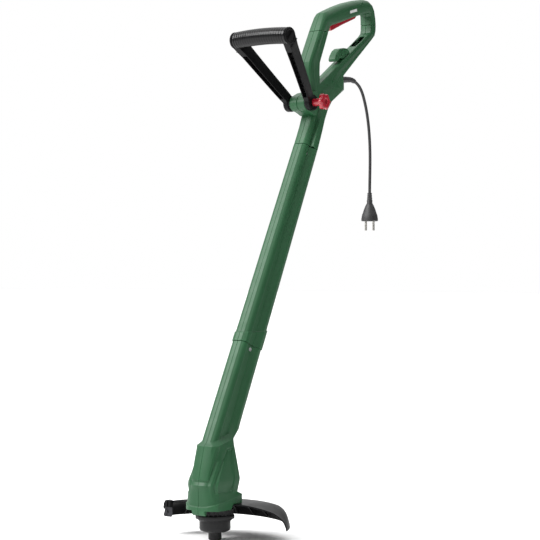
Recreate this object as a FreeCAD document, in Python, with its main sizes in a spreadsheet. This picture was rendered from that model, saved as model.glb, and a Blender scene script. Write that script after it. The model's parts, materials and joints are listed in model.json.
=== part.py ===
"""Corded string trimmer: leaning hollow body of clamshell halves, D-handle, auxiliary handle, motor, line head.

Millimetres, +Z up.  The plane X = 0 is the tool's plane of symmetry and -Y is forward, where the line cuts.
The origin is the middle of the bump button's underside, on the head's spin axis.
"""
import FreeCAD, Part
import math
import os
import re
import Sketcher

V = FreeCAD.Vector
doc = FreeCAD.newDocument("string_trimmer")

# ---------------------------------------------------------------- driving dimensions
SIZES = {
    # leaning shaft: its axis passes through (axis_y, axis_z) and leans back from the vertical
    "lean": 25.7, "axis_y": 17.9, "axis_z": 212,
    "low_seam": 157.6, "high_seam": 578,
    "low_half": 22, "high_half": 16.2, "foot_half": 24.5,
    "nose_half": 17, "nose_bevel": 7, "spine_half": 25, "spine_deep": 9.5, "spine_bevel": 8,
    "wall": 2.5, "seam_gap": 0.3,
    # motor housing: half widths (x) and front and back (y) at each level
    "foot_z": 59, "rim_z": 67, "waist_z": 88, "belly_z": 116, "shoulder_z": 181,
    "rim_x": 39, "rim_front": 49, "rim_back": 33,
    "waist_x": 37.5, "waist_front": 47, "waist_back": 22,
    "belly_x": 38, "belly_front": 46.5, "belly_back": 29.5,
    "shoulder_x": 27, "shoulder_front": 29, "shoulder_back": 23,
    "lug_half": 15, "lug_deep": 9,
    # D-handle outline, front and back of each bar
    "bar_half": 15.5, "grip_half": 16.5,
    "front_seam_z": 963, "back_seam_z": 993,
    "hub_y": 262, "hub_z": 818, "hub_round": 15.5, "hub_half": 18,
    "knee_y": 269.5, "knee_z": 894,
    "brow_y": 322, "brow_z": 1000,
    "crown_y": 459, "crown_z": 1042.5,
    "tail_y": 496, "tail_z": 998,
    "heel_y": 384, "heel_z": 879.5,
    "hole_top_y": 340.6, "hole_top_z": 974.5, "hole_back_y": 480, "hole_back_z": 1021,
    "hole_low_y": 309, "hole_low_z": 860, "hole_knee_y": 306.3, "hole_knee_z": 897.6,
    "slot_y": 452, "slot_z": 957, "slot_long": 42, "slot_half": 6,
    # auxiliary handle
    "pivot_y": 260, "pivot_z": 818, "pivot_rise": 46.5,
    "boss_in": 20, "boss_out": 32, "boss_round": 15.5,
    "reach": 166.2, "tube_round": 12, "grip_round": 16, "grip_long": 53, "yoke_half": 68,
    "arm_deep": 22, "bolt_round": 4,
    # knob
    "knob_round": 14.6, "knob_face": 61.2, "knob_back": 52, "stem_round": 7.7,
    # trigger and switch
    "trigger_y": 438, "trigger_z": 1014, "trigger_half": 6.5,
    "plunger_y": 414,
    # motor
    "motor_shaft_round": 4, "core_round": 15, "field_round": 21.5, "field_bore": 15.8,
    # line head
    "flange_round": 36, "cup_round": 28.8, "cup_inner": 27, "button_round": 12.2,
    "spool_round": 25.5, "spool_low": 20.9, "spool_high": 35.6,
    # guard
    "guard_round": 137, "deck_top": 68, "rim_top": 54, "skirt_low": 22, "skirt_thick": 2.6,
    "guard_sweep": 169, "guard_swing": 6, "guard_screw_x": 26, "guard_screw_y": 14,
    # mains cord
    "cord_round": 3, "boot_z": 873.5,
    "arm_rise": 34.4,
}

sheet = doc.addObject("Spreadsheet::Sheet", "Dims")
for row, (alias, value) in enumerate(SIZES.items(), start=1):
    sheet.set(f"A{row}", alias)
    sheet.set(f"B{row}", str(value))
    sheet.setAlias(f"B{row}", alias)
doc.recompute()

PARTS = []


# ---------------------------------------------------------------- helpers
def cells(text):
    """The expression with each alias turned into a reference to its cell."""
    def refer(match):
        word = match.group(0)
        return f"Dims.{word}" if word in SIZES else word
    return re.sub(r"[a-z_]+", refer, str(text))


def size(alias):
    return float(sheet.get(alias))


def keep(thing, label):
    """Registers an object as a finished sub-part under its own label."""
    thing.Label = label
    PARTS.append(thing)
    return thing


def new_body(label):
    return keep(doc.addObject("PartDesign::Body", label), label)


def new_sketch(body, role, shift=("0", "0", "0"), tilt=False):
    """A sketch on one of the body's own origin planes, shifted and, for the shaft, leaned with it."""
    sketch = body.newObject("Sketcher::SketchObject", body.Name + "_sketch")
    plane = next(f for f in body.Origin.OriginFeatures if f.Role == role)
    sketch.AttachmentSupport = (plane, [""])
    sketch.MapMode = "FlatFace"
    if tilt:
        turn = FreeCAD.Rotation(V(1, 0, 0), -size("lean"))
        sketch.AttachmentOffset = FreeCAD.Placement(V(), turn)
    for axis, text in zip("xyz", shift):
        sketch.setExpression(f"AttachmentOffset.Base.{axis}", cells(text))
    return sketch


def bind(sketch, kind, index, point, text, start):
    number = sketch.addConstraint(Sketcher.Constraint(kind, -1, 1, index, point, start))
    sketch.setExpression(f"Constraints[{number}]", cells(text))


def polygon(sketch, points):
    """A closed outline of straight edges; each corner is an (x, y) pair of expressions."""
    count = len(points)
    first = len(sketch.Geometry)
    ring = [V(math.cos(2 * math.pi * i / count), math.sin(2 * math.pi * i / count), 0) for i in range(count)]
    for i in range(count):
        sketch.addGeometry(Part.LineSegment(ring[i], ring[(i + 1) % count]), False)
    for i in range(count):
        following = first + (i + 1) % count
        sketch.addConstraint(Sketcher.Constraint("Coincident", first + i, 2, following, 1))
    for i, (x, y) in enumerate(points):
        bind(sketch, "DistanceX", first + i, 1, x, ring[i].x)
        bind(sketch, "DistanceY", first + i, 1, y, ring[i].y)
    return sketch


def circle(sketch, x, y, radius):
    index = sketch.addGeometry(Part.Circle(V(), V(0, 0, 1), 1), False)
    bind(sketch, "DistanceX", index, 3, x, 0.0)
    bind(sketch, "DistanceY", index, 3, y, 0.0)
    number = sketch.addConstraint(Sketcher.Constraint("Radius", index, 1.0))
    sketch.setExpression(f"Constraints[{number}]", cells(radius))
    return sketch


def pad(body, sketch, length, back=False, middle=False):
    feature = body.newObject("PartDesign::Pad", body.Name + "_pad")
    feature.Profile = sketch
    feature.setExpression("Length", cells(length))
    feature.Reversed = back
    feature.Midplane = middle
    doc.recompute()
    return feature


def pocket(body, sketch, length, back=False, middle=False):
    """A pocket, checked to have removed material."""
    before = body.Tip.Shape.Volume
    feature = body.newObject("PartDesign::Pocket", body.Name + "_pocket")
    feature.Profile = sketch
    feature.setExpression("Length", cells(length))
    feature.Reversed = back
    feature.Midplane = middle
    doc.recompute()
    if feature.Shape.Volume > before - 1e-6:
        raise ValueError(f"{feature.Label} cuts nothing")
    return feature


def loft(body, sketches, kind="Additive"):
    feature = body.newObject(f"PartDesign::{kind}Loft", body.Name + "_loft")
    feature.Profile = sketches[0]
    feature.Sections = sketches[1:]
    feature.Ruled = True
    doc.recompute()
    return feature


def revolve(body, sketch, angle="360", middle=False, back=False):
    feature = body.newObject("PartDesign::Revolution", body.Name + "_turn")
    feature.Profile = sketch
    feature.ReferenceAxis = (sketch, ["V_Axis"])
    feature.setExpression("Angle", cells(angle))
    feature.Midplane = middle
    feature.Reversed = back
    doc.recompute()
    return feature


def hollow(body, wall, is_open):
    """Shells the body's tip, leaving open every flat face for which is_open(centre, normal) holds."""
    tip = body.Tip
    faces = []
    for number, face in enumerate(tip.Shape.Faces, start=1):
        if is_open(face.CenterOfMass, face.normalAt(0, 0)):
            faces.append(f"Face{number}")
    feature = body.newObject("PartDesign::Thickness", body.Name + "_wall")
    feature.Base = (tip, faces)
    feature.setExpression("Value", cells(wall))
    feature.Reversed = True
    feature.Join = 1
    doc.recompute()
    return feature


def around(body, feature_sketch_host, feature, count):
    """A polar pattern of the feature about the body's Z axis."""
    pattern = body.newObject("PartDesign::PolarPattern", body.Name + "_ring")
    pattern.Originals = [feature]
    pattern.Axis = (feature_sketch_host, ["N_Axis"])
    pattern.Angle = 360
    pattern.Occurrences = count
    body.Tip = pattern
    doc.recompute()
    return pattern


def turned(label, profile, centre=None, turn=None):
    """A turned piece: a closed (radius, height) profile revolved about the piece's own Z axis."""
    body = new_body(label)
    sketch = polygon(new_sketch(body, "XZ_Plane"), profile)
    revolve(body, sketch)
    place(body, centre, turn)
    return body


def place(thing, centre=None, turn=None):
    """Places an object: its base bound to expressions, its rotation an (axis, angle) pair."""
    if turn:
        thing.Placement = FreeCAD.Placement(V(), FreeCAD.Rotation(V(*turn[0]), turn[1]))
    if centre:
        for axis, text in zip("xyz", centre):
            thing.setExpression(f"Placement.Base.{axis}", cells(text))
    return thing


def cylinder(radius, height, centre, turn=None):
    rod = doc.addObject("Part::Cylinder", "rod")
    rod.setExpression("Radius", cells(radius))
    rod.setExpression("Height", cells(height))
    return place(rod, centre, turn)


def box(long, wide, high, centre, turn=None):
    block = doc.addObject("Part::Box", "block")
    block.setExpression("Length", cells(long))
    block.setExpression("Width", cells(wide))
    block.setExpression("Height", cells(high))
    return place(block, centre, turn)


def group(label, solids):
    """Several separate solids kept as one sub-part."""
    compound = doc.addObject("Part::Compound", label)
    compound.Links = solids
    return keep(compound, label)


def fused(solids):
    union = doc.addObject("Part::MultiFuse", "union")
    union.Shapes = solids
    return union


def drilled(solid, tool):
    cut = doc.addObject("Part::Cut", "drilled")
    cut.Base = solid
    cut.Tool = tool
    return cut


ALONG_X = ((0, 1, 0), 90)
AGAINST_X = ((0, 1, 0), -90)
ALONG_Y = ((1, 0, 0), -90)


def rounded_path(points):
    """Straight runs through the points, joined by tangent arcs as large as the runs allow."""
    edges = []
    start = points[0]
    radii = []
    for before, corner, after in zip(points, points[1:], points[2:]):
        arriving = corner - before
        leaving = after - corner
        turn = arriving.getAngle(leaving)
        run = min(arriving.Length, leaving.Length)
        radius = 0.45 * run / math.tan(turn / 2)
        radii.append(round(radius, 1))
        trim = 0.45 * run
        enter = corner - arriving.normalize() * trim
        leave = corner + leaving.normalize() * trim
        towards = ((enter + leave) * 0.5 - corner).normalize()
        centre_gap = math.hypot(radius, trim)
        middle = corner + towards * (centre_gap - radius)
        edges.append(Part.LineSegment(start, enter).toShape())
        edges.append(Part.Arc(enter, middle, leave).toShape())
        start = leave
    edges.append(Part.LineSegment(start, points[-1]).toShape())
    return Part.Wire(edges), radii


def tube(label, points, radius):
    """A round tube along a rounded path, with its volume compared with section times length."""
    path, radii = rounded_path(points)
    direction = points[1] - points[0]
    section = Part.Wire(Part.Circle(points[0], direction, radius).toShape())
    solid = path.makePipeShell([section], True, False)
    expected = math.pi * radius ** 2 * path.Length
    print(f"{label}: length {path.Length:.1f}, radii {radii}, volume ratio {solid.Volume / expected:.4f}")
    return solid


def solid_feature(label, shape):
    feature = doc.addObject("Part::Feature", label)
    feature.Shape = shape
    return keep(feature, label)


def in_shaft(across, along):
    """Expressions for the (y, z) of a point given across and along the leaning shaft axis."""
    y = f"axis_y + ({across}) * cos(lean * 1deg) + ({along}) * sin(lean * 1deg)"
    z = f"axis_z - ({across}) * sin(lean * 1deg) + ({along}) * cos(lean * 1deg)"
    return y, z


def is_middle(centre, normal):
    return abs(centre.x) < 1e-4 and abs(normal.x) > 0.99


def along_shaft(point):
    lean = math.radians(size("lean"))
    return (point.y - size("axis_y")) * math.sin(lean) + (point.z - size("axis_z")) * math.cos(lean)


# ---------------------------------------------------------------- leaning shaft
def shaft_section(body, side, along, half, inset="0"):
    """Half of the shaft's section: a narrow bevelled nose in front and a wide spine behind."""
    y, z = in_shaft("0", along)
    sketch = new_sketch(body, "XY_Plane", ("0", y, z), tilt=True)
    nose, spine, front = f"(nose_half - {inset})", f"(spine_half - {inset})", f"({half} - {inset})"
    return polygon(sketch, [
        ("0", f"-{front}"),
        (f"{side} * ({nose} - nose_bevel)", f"-{front}"),
        (f"{side} * {nose}", f"nose_bevel - {front}"),
        (f"{side} * {nose}", f"{half} - spine_deep - spine_bevel + 0.4 * {inset}"),
        (f"{side} * {spine}", f"{half} - spine_deep + 0.4 * {inset}"),
        (f"{side} * {spine}", f"{front} - 2"),
        (f"{side} * ({spine} - 2)", front),
        ("0", front),
    ])


def shaft_shell(side, label):
    body = new_body(label)
    low, high = "low_seam + seam_gap", "high_seam - seam_gap"
    loft(body, [shaft_section(body, side, low, "low_half"), shaft_section(body, side, high, "high_half")])
    inner = [shaft_section(body, side, low, "low_half", "wall"), shaft_section(body, side, high, "high_half", "wall")]
    loft(body, inner, "Subtractive")
    return body


def housing_section(body, side, level, name, inset="0"):
    """Half of the motor housing's section: flat front and sides with a bevel between them."""
    sketch = new_sketch(body, "XY_Plane", ("0", "0", level))
    x, front, back = f"({name}_x - {inset})", f"({name}_front - {inset})", f"({name}_back - {inset})"
    corner = "13"
    return polygon(sketch, [
        ("0", f"-{front}"),
        (f"{side} * ({x} - 1.3 * {corner})", f"-{front}"),
        (f"{side} * ({x} - 0.2 * {corner})", f"{corner} * 0.7 - {front}"),
        (f"{side} * {x}", f"{corner} * 1.4 - {front}"),
        (f"{side} * {x}", f"{back} - {corner} * 0.8"),
        (f"{side} * ({x} - 0.6 * {corner})", back),
        ("0", back),
    ])


def motor_housing(side, label):
    body = new_body(label)
    levels = [("foot_z", "rim"), ("rim_z", "rim"), ("waist_z", "waist"), ("belly_z", "belly"),
              ("shoulder_z", "shoulder")]
    for inset, kind in (("0", "Additive"), ("wall", "Subtractive")):
        top = "shoulder_z - " + inset
        block = [housing_section(body, side, top if name == "shoulder" else level, name, inset)
                 for level, name in levels]
        neck = [shaft_section(body, side, "-38", "foot_half", inset),
                shaft_section(body, side, "low_seam", "low_half", inset)]
        loft(body, block, kind)
        loft(body, neck, kind)
    # the foot is stepped up behind, where the guard's deck passes under the rim
    step = polygon(new_sketch(body, "YZ_Plane"), [
        ("3", "foot_z - 5"), ("60", "foot_z - 5"), ("60", "deck_top + 0.1"), ("3", "deck_top + 0.1")])
    pocket(body, step, "80", back=side > 0)
    # a lug under the front of the rim shields the gap above the line head
    lug = polygon(new_sketch(body, "YZ_Plane"), [
        ("-rim_front + 4", "foot_z - lug_deep"), ("-rim_front + 8", "foot_z - lug_deep"),
        ("-rim_front + 8", "foot_z + 1"), ("-rim_front", "foot_z + 1")])
    pad(body, lug, "lug_half", back=side < 0)
    return body


motor_housing(1, "motor_housing_left")
motor_housing(-1, "motor_housing_right")
shaft_shell(1, "shaft_shell_left")
shaft_shell(-1, "shaft_shell_right")


# ---------------------------------------------------------------- D-handle
def in_arm(along, across):
    """Expressions for the (y, z) of a point along and across the handle's lower arm, from its cord slot."""
    y = f"slot_y + ({along}) * cos(arm_rise * 1deg) - ({across}) * sin(arm_rise * 1deg)"
    z = f"slot_z + ({along}) * sin(arm_rise * 1deg) + ({across}) * cos(arm_rise * 1deg)"
    return y, z


FRONT_OUTER = "knee_y + (front_seam_z - knee_z) * (brow_y - knee_y) / (brow_z - knee_z)"
FRONT_INNER = ("hole_knee_y + (front_seam_z - hole_knee_z) * (hole_top_y - hole_knee_y)"
               " / (hole_top_z - hole_knee_z)")
BACK_INNER = "hole_back_y + 1"
BACK_OUTER = "tail_y - 0.5"


def handle_shell(side, label):
    """The neck, the bars of the D up to the seams, and the hub that carries the auxiliary handle."""
    body = new_body(label)
    front_low = in_shaft("-high_half", "high_seam + seam_gap")
    back_low = in_shaft("high_half", "high_seam + seam_gap")
    outline = polygon(new_sketch(body, "YZ_Plane"), [
        front_low, ("hub_y + 17", "hub_z - 26"), ("hub_y - 12", "hub_z - 10"),
        ("hub_y - hub_round", "hub_z - 3"), ("hub_y - hub_round", "hub_z + 5"), ("hub_y - 7", "hub_z + 15.5"),
        ("hub_y + 21", "hub_z + 25"), ("knee_y + 1.5", "knee_z - 23"), ("knee_y", "knee_z"),
        (FRONT_OUTER, "front_seam_z"), (FRONT_INNER, "front_seam_z"), ("hole_knee_y", "hole_knee_z"),
        ("hole_low_y", "hole_low_z"), ("hole_back_y", "hole_back_z - 44"), (BACK_INNER, "back_seam_z"),
        (BACK_OUTER, "back_seam_z"), ("tail_y - 2", "tail_z - 23"), ("heel_y", "heel_z"),
        ("heel_y + 4", "heel_z - 13.5"), ("heel_y + 4", "heel_z - 26.5"), ("heel_y - 43", "heel_z - 55.5"),
        ("heel_y - 70", "heel_z - 95.5"), back_low])
    pad(body, outline, "bar_half", back=side < 0)

    def is_open(centre, normal):
        at_seam = abs(normal.z) > 0.99 and (abs(centre.z - size("front_seam_z")) < 0.1
                                            or abs(centre.z - size("back_seam_z")) < 0.1)
        at_shaft = abs(along_shaft(centre) - size("high_seam") - size("seam_gap")) < 0.1
        return is_middle(centre, normal) or at_seam or at_shaft
    hollow(body, "wall", is_open)
    # the wide spine of the shaft runs on and fades into the neck
    strips = []
    for along, wide in (("high_seam + seam_gap", "spine_half"), ("high_seam + 88", "bar_half + 0.5")):
        y, z = in_shaft("0", along)
        strips.append(polygon(new_sketch(body, "XY_Plane", ("0", y, z), tilt=True), [
            (f"{side} * 13.5", "high_half - spine_deep - spine_bevel"), (f"{side} * {wide}", "high_half - spine_deep"),
            (f"{side} * {wide}", "high_half - 1"), (f"{side} * 13.5", "high_half - 1")]))
    loft(body, strips)
    pad(body, circle(new_sketch(body, "YZ_Plane"), "hub_y", "hub_z", "hub_round"), "hub_half", back=side < 0)
    pocket(body, circle(new_sketch(body, "YZ_Plane"), "hub_y - 2", "hub_z", "bolt_round + 0.3"), "40",
           back=side > 0)
    # a slot through the lower arm, where a bight of the extension cord passes
    walls = polygon(new_sketch(body, "YZ_Plane"), [
        in_arm(along, across) for along, across in (
            ("-slot_long / 2 - 2.5", "-9"), ("slot_long / 2 + 2.5", "-9"),
            ("slot_long / 2 + 2.5", "8"), ("-slot_long / 2 - 2.5", "8"))])
    pad(body, walls, "slot_half + 2.5", back=side < 0)
    gap = polygon(new_sketch(body, "YZ_Plane"), [
        in_arm(along, across) for along, across in (
            ("-slot_long / 2", "-25"), ("slot_long / 2", "-25"), ("slot_long / 2", "20"), ("-slot_long / 2", "20"))])
    pocket(body, gap, "slot_half", back=side > 0)
    # the socket of the cord's boot
    socket = circle(new_sketch(body, "XZ_Plane", ("0", "boot_z", "-heel_y - 6")), "0", "0", "5.5")
    pocket(body, socket, "12", back=True)
    return body


def grip_shell(side, label):
    """The grip across the top of the D, down to the seams of both bars, slotted below for the trigger."""
    body = new_body(label)
    gap = "seam_gap"
    outline = polygon(new_sketch(body, "YZ_Plane"), [
        (FRONT_OUTER, f"front_seam_z + {gap}"), ("brow_y", "brow_z"), ("brow_y + 18", "brow_z + 6.5"),
        ("brow_y + 44", "brow_z + 18"), ("brow_y + 74", "brow_z + 28"), ("crown_y - 28", "crown_z - 5.5"),
        ("crown_y", "crown_z"), ("crown_y + 19.5", "crown_z - 2"), ("crown_y + 32", "crown_z - 21"),
        ("tail_y", "tail_z"), (BACK_OUTER, f"back_seam_z + {gap}"), (BACK_INNER, f"back_seam_z + {gap}"),
        ("hole_back_y", "hole_back_z"), ("hole_top_y", "hole_top_z"), (FRONT_INNER, f"front_seam_z + {gap}")])
    pad(body, outline, "grip_half", back=side < 0)

    def is_open(centre, normal):
        at_seam = abs(normal.z) > 0.99 and (abs(centre.z - size("front_seam_z") - size(gap)) < 0.1
                                            or abs(centre.z - size("back_seam_z") - size(gap)) < 0.1)
        return is_middle(centre, normal) or at_seam
    hollow(body, "wall", is_open)
    mouth = polygon(new_sketch(body, "YZ_Plane"), [
        ("hole_top_y - 1.5", "hole_top_z - 12"), ("trigger_y + 7", "hole_back_z - 24"),
        ("trigger_y + 7", "trigger_z + 2"), ("hole_top_y - 1.5", "hole_top_z + 9")])
    pocket(body, mouth, "trigger_half + 0.6", back=side > 0)
    return body


handle_shell(1, "handle_shell_left")
handle_shell(-1, "handle_shell_right")
grip_shell(1, "grip_shell_left")
grip_shell(-1, "grip_shell_right")


def cable_hook():
    """A hook on the lower arm that holds a bight of the extension cord."""
    body = new_body("cable_hook")
    outline = polygon(new_sketch(body, "YZ_Plane"), [
        ("412", "932"), ("403", "938.5"), ("379", "936"), ("367", "930"), ("355", "915.5"), ("357.5", "909"),
        ("366", "908"), ("373", "916"), ("384", "922"), ("391", "916.7"), ("402", "924.2")])
    pad(body, outline, "14", middle=True)


cable_hook()


# ---------------------------------------------------------------- trigger and switch
def trigger():
    """A long lever under the grip, hinged at its rear end, with its pin bore."""
    body = new_body("trigger")
    outline = polygon(new_sketch(body, "YZ_Plane"), [
        ("trigger_y - 88", "trigger_z - 48"), ("trigger_y - 84", "trigger_z - 50"),
        ("trigger_y - 6", "trigger_z - 15"), ("trigger_y + 4", "trigger_z - 4"), ("trigger_y + 4", "trigger_z + 3"),
        ("trigger_y - 4", "trigger_z + 5"), ("trigger_y - 91", "trigger_z - 31"), ("trigger_y - 91", "trigger_z - 39")])
    pad(body, outline, "2 * trigger_half", middle=True)
    pocket(body, circle(new_sketch(body, "YZ_Plane"), "trigger_y", "trigger_z", "2.05"), "40", middle=True)


trigger()
keep(cylinder("2", "2 * grip_half - 2 * wall", ("wall - grip_half", "trigger_y", "trigger_z"), ALONG_X), "trigger_pin")


def trigger_spring():
    """A torsion spring wound about the pin beside the lever."""
    coil = Part.makeHelix(0.9, 4.2, 3.2)
    profile = Part.Wire(Part.Circle(V(3.2, 0, 0), V(0, 1, 0), 0.4).toShape())
    solid = Part.Wire(coil.Edges).makePipeShell([profile], True, True)
    spring = solid_feature("trigger_spring", solid)
    place(spring, ("trigger_half + 1.2", "trigger_y", "trigger_z"), ALONG_X)


trigger_spring()

SWITCH_FLOOR = "trigger_z + 3.6"
switch_bore = cylinder("1.7", "7", ("0", "plunger_y", SWITCH_FLOOR + " - 1"))
switch_case = box("12", "22", "8.2", ("-6", "plunger_y - 13", SWITCH_FLOOR))
keep(drilled(switch_case, switch_bore), "micro_switch")
keep(cylinder("1.5", "7", ("0", "plunger_y", "trigger_z - 2.3")), "switch_plunger")
keep(cylinder("4.4", "14", ("-7", "368", "1008.6"), ALONG_X), "capacitor")


# ---------------------------------------------------------------- auxiliary handle
AUX = (("0", "pivot_y", "pivot_z"), ((1, 0, 0), SIZES["pivot_rise"]))


def aux_handle():
    """A yoke in its own frame: Z runs from the pivot to the grip; the arms are channels with cross webs."""
    body = new_body("aux_handle")
    for side in (1, -1):
        arm = polygon(new_sketch(body, "XZ_Plane"), [
            (f"{side} * boss_in", "0"), (f"{side} * boss_out", "0"), (f"{side} * boss_out", "12"),
            (f"{side} * (boss_out + 1.4)", "18"),
            (f"{side} * yoke_half", "reach - 12"), (f"{side} * yoke_half", "reach"),
            (f"{side} * (yoke_half - 15)", "reach"), (f"{side} * (yoke_half - 15)", "reach - 21"),
            (f"{side} * (boss_in + 0.5)", "12")])
        boss_sketch = new_sketch(body, "YZ_Plane", ("0", "0", f"{side} * boss_in"))
        tip_sketch = new_sketch(body, "YZ_Plane", ("0", "0", f"{side} * (grip_long + 0.2)"))
        if side > 0:
            bar = new_sketch(body, "YZ_Plane")
            pad(body, circle(bar, "0", "reach", "tube_round"), "2 * grip_long + 2", middle=True)
        pad(body, circle(tip_sketch, "0", "reach", "grip_round"), "yoke_half - grip_long - 0.2", back=side < 0)
        pad(body, arm, "arm_deep", middle=True)
        pad(body, circle(boss_sketch, "0", "0", "boss_round"), "boss_out - boss_in", back=side < 0)
    webs = new_sketch(body, "XZ_Plane", ("0", "0", "arm_deep / 2"))
    cell_count = 6
    for side in (1, -1):
        for cell in range(cell_count):
            ends = [(cell + 0.06) / cell_count, (cell + 0.94) / cell_count]
            corners = []
            for where, inner in ((ends[0], True), (ends[0], False), (ends[1], False), (ends[1], True)):
                along = f"(20 + {where:.3f} * (reach - 44))"
                if inner:
                    across = f"(boss_in + 2.8 + ({along} - 12) * (yoke_half - 15 - boss_in) / (reach - 33))"
                else:
                    across = f"(boss_out - 1.6 + ({along} - 14) * (yoke_half - boss_out) / (reach - 26))"
                corners.append((f"{side} * {across}", along))
            polygon(webs, corners)
    pocket(body, webs, "arm_deep - 4")
    bore = circle(new_sketch(body, "YZ_Plane"), "0", "0", "bolt_round + 0.02")
    pocket(body, bore, "4 * boss_out", middle=True)
    place(body, *AUX)


aux_handle()


def aux_grip():
    """A ribbed sleeve on the yoke's cross tube."""
    profile = [("tube_round", "-grip_long"), ("grip_round - 0.8", "-grip_long")]
    ribs = 15
    for rib in range(ribs):
        start = f"-grip_long + {rib + 0.2:.1f} * 2 * grip_long / {ribs}"
        end = f"-grip_long + {rib + 0.8:.1f} * 2 * grip_long / {ribs}"
        profile += [("grip_round - 0.8", start), ("grip_round", start + " + 1"), ("grip_round", end),
                    ("grip_round - 0.8", end + " + 1")]
    profile += [("grip_round - 0.8", "grip_long"), ("tube_round", "grip_long")]
    centre = ("0", "pivot_y - reach * sin(pivot_rise * 1deg)", "pivot_z + reach * cos(pivot_rise * 1deg)")
    turned("aux_grip", profile, centre, ALONG_X)


aux_grip()
turned("clamp_bolt", [
    ("0", "-boss_out - 5"), ("4", "-boss_out - 4.6"), ("8.5", "-boss_out - 1.5"), ("8.5", "-boss_out"),
    ("bolt_round", "-boss_out"), ("bolt_round", "boss_out + 0.2"), ("bolt_round - 1", "boss_out + 0.2"),
    ("bolt_round - 1", "knob_face - 7"), ("0", "knob_face - 7")], ("0", "pivot_y", "pivot_z"), ALONG_X)


def washer(near):
    return drilled(cylinder("13", "1.4", (near, "pivot_y", "pivot_z"), ALONG_X),
                   cylinder("bolt_round + 0.02", "6", (near + " - 2", "pivot_y", "pivot_z"), ALONG_X))


group("clamp_washers", [washer("boss_in - 1.4"), washer("-boss_in")])


def clamp_knob():
    """A six-lobed knob on a short stem, hollow for its threaded insert."""
    body = new_body("clamp_knob")
    sketch = polygon(new_sketch(body, "XZ_Plane"), [
        ("5.2", "boss_out + 0.3"), ("stem_round", "boss_out + 0.3"), ("stem_round - 0.5", "knob_back"),
        ("knob_round - 1.5", "knob_back"), ("knob_round", "knob_back + 1.5"), ("knob_round", "knob_face - 1.5"),
        ("knob_round - 1.5", "knob_face"), ("4.5", "knob_face"), ("4.5", "knob_face - 5"),
        ("5.2", "knob_face - 5")])
    revolve(body, sketch)
    lobe = circle(new_sketch(body, "XY_Plane", ("0", "0", "knob_back + 0.8")), "knob_round - 2.2", "0", "4.4")
    lobe_pad = pad(body, lobe, "knob_face - knob_back - 1.6")
    around(body, lobe, lobe_pad, 6)
    place(body, ("0", "pivot_y", "pivot_z"), ALONG_X)


clamp_knob()
turned("knob_insert", [
    ("bolt_round - 0.95", "boss_out + 1"), ("5.2", "boss_out + 1"), ("5.2", "knob_face - 8"),
    ("bolt_round - 0.95", "knob_face - 8")], ("0", "pivot_y", "pivot_z"), ALONG_X)


# ---------------------------------------------------------------- motor
turned("motor_plate", [
    ("4.6", "77"), ("18.5", "77"), ("18.5", "80"), ("12", "80"), ("12", "87"), ("9.5", "87"), ("9.5", "80"),
    ("4.6", "80")])
turned("lower_bearing", [
    ("motor_shaft_round + 0.04", "80"), ("9.5", "80"), ("9.5", "87"), ("motor_shaft_round + 0.04", "87")])
turned("bearing_bracket", [("4.6", "175.5"), ("11.5", "175.5"), ("11.5", "167.5"), ("8", "167.5"), ("8", "173.5"),
                           ("4.6", "173.5")])
turned("upper_bearing", [("3.54", "167.5"), ("8", "167.5"), ("8", "173.5"), ("3.54", "173.5")])
turned("motor_shaft", [
    ("0", "25"), ("motor_shaft_round", "25"), ("motor_shaft_round", "165"), ("3.5", "165"), ("3.5", "173"),
    ("0", "173")])


def cooling_fan():
    """A disc with radial blades on the motor shaft."""
    body = new_body("cooling_fan")
    disc = polygon(new_sketch(body, "XZ_Plane"), [
        ("motor_shaft_round", "90"), ("17", "90"), ("17", "91.5"), ("7", "91.5"), ("7", "98.5"),
        ("motor_shaft_round", "98.5")])
    revolve(body, disc)
    blade = polygon(new_sketch(body, "XY_Plane", ("0", "0", "91")), [
        ("6.5", "-0.7"), ("16.5", "-0.7"), ("16.5", "0.7"), ("6.5", "0.7")])
    around(body, blade, pad(body, blade, "7"), 9)


def armature_core():
    """The slotted rotor stack."""
    body = new_body("armature_core")
    revolve(body, polygon(new_sketch(body, "XZ_Plane"), [
        ("motor_shaft_round", "104"), ("core_round", "104"), ("core_round", "139"),
        ("motor_shaft_round", "139")]))
    slot = polygon(new_sketch(body, "XY_Plane", ("0", "0", "103")), [
        ("10", "-1"), ("16", "-1"), ("16", "1"), ("10", "1")])
    around(body, slot, pocket(body, slot, "40", back=True), 12)


cooling_fan()
armature_core()
keep(drilled(cylinder("13.2", "4", ("0", "0", "99.9")), cylinder("motor_shaft_round", "8", ("0", "0", "98"))),
     "lower_winding")
keep(drilled(cylinder("13.2", "8", ("0", "0", "139")), cylinder("motor_shaft_round", "12", ("0", "0", "137"))),
     "upper_winding")
turned("commutator", [
    ("motor_shaft_round", "148"), ("9", "148"), ("9", "161"), ("motor_shaft_round", "161")])
turned("field_core", [
    ("field_bore", "103.5"), ("field_round", "103.5"), ("field_round", "140"), ("field_bore", "140")])
group("field_coils", [
    drilled(cylinder("20.8", "3.2", ("0", "0", "100.2")), cylinder("field_bore + 0.4", "6", ("0", "0", "99"))),
    drilled(cylinder("20.8", "7", ("0", "0", "140.1")), cylinder("field_bore + 0.4", "9", ("0", "0", "139")))])


def brush_pair(label, inner, outer, half, low, high, bore_half=None):
    blocks = []
    for side in (1, -1):
        start = inner if side > 0 else f"-({outer})"
        block = box(f"{outer} - {inner}", f"2 * {half}", f"{high} - {low}", (start, f"-{half}", low))
        if bore_half:
            hole = box("60", f"2 * {bore_half}", f"{high} - {low} - 3", ("-30", f"-{bore_half}", f"{low} + 1.5"))
            block = drilled(block, hole)
        blocks.append(block)
    return group(label, blocks)


brush_pair("carbon_brushes", "9.3", "19", "3", "151", "158")
brush_pair("brush_holders", "11", "21", "4.6", "149.5", "159.5", "3")


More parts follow.
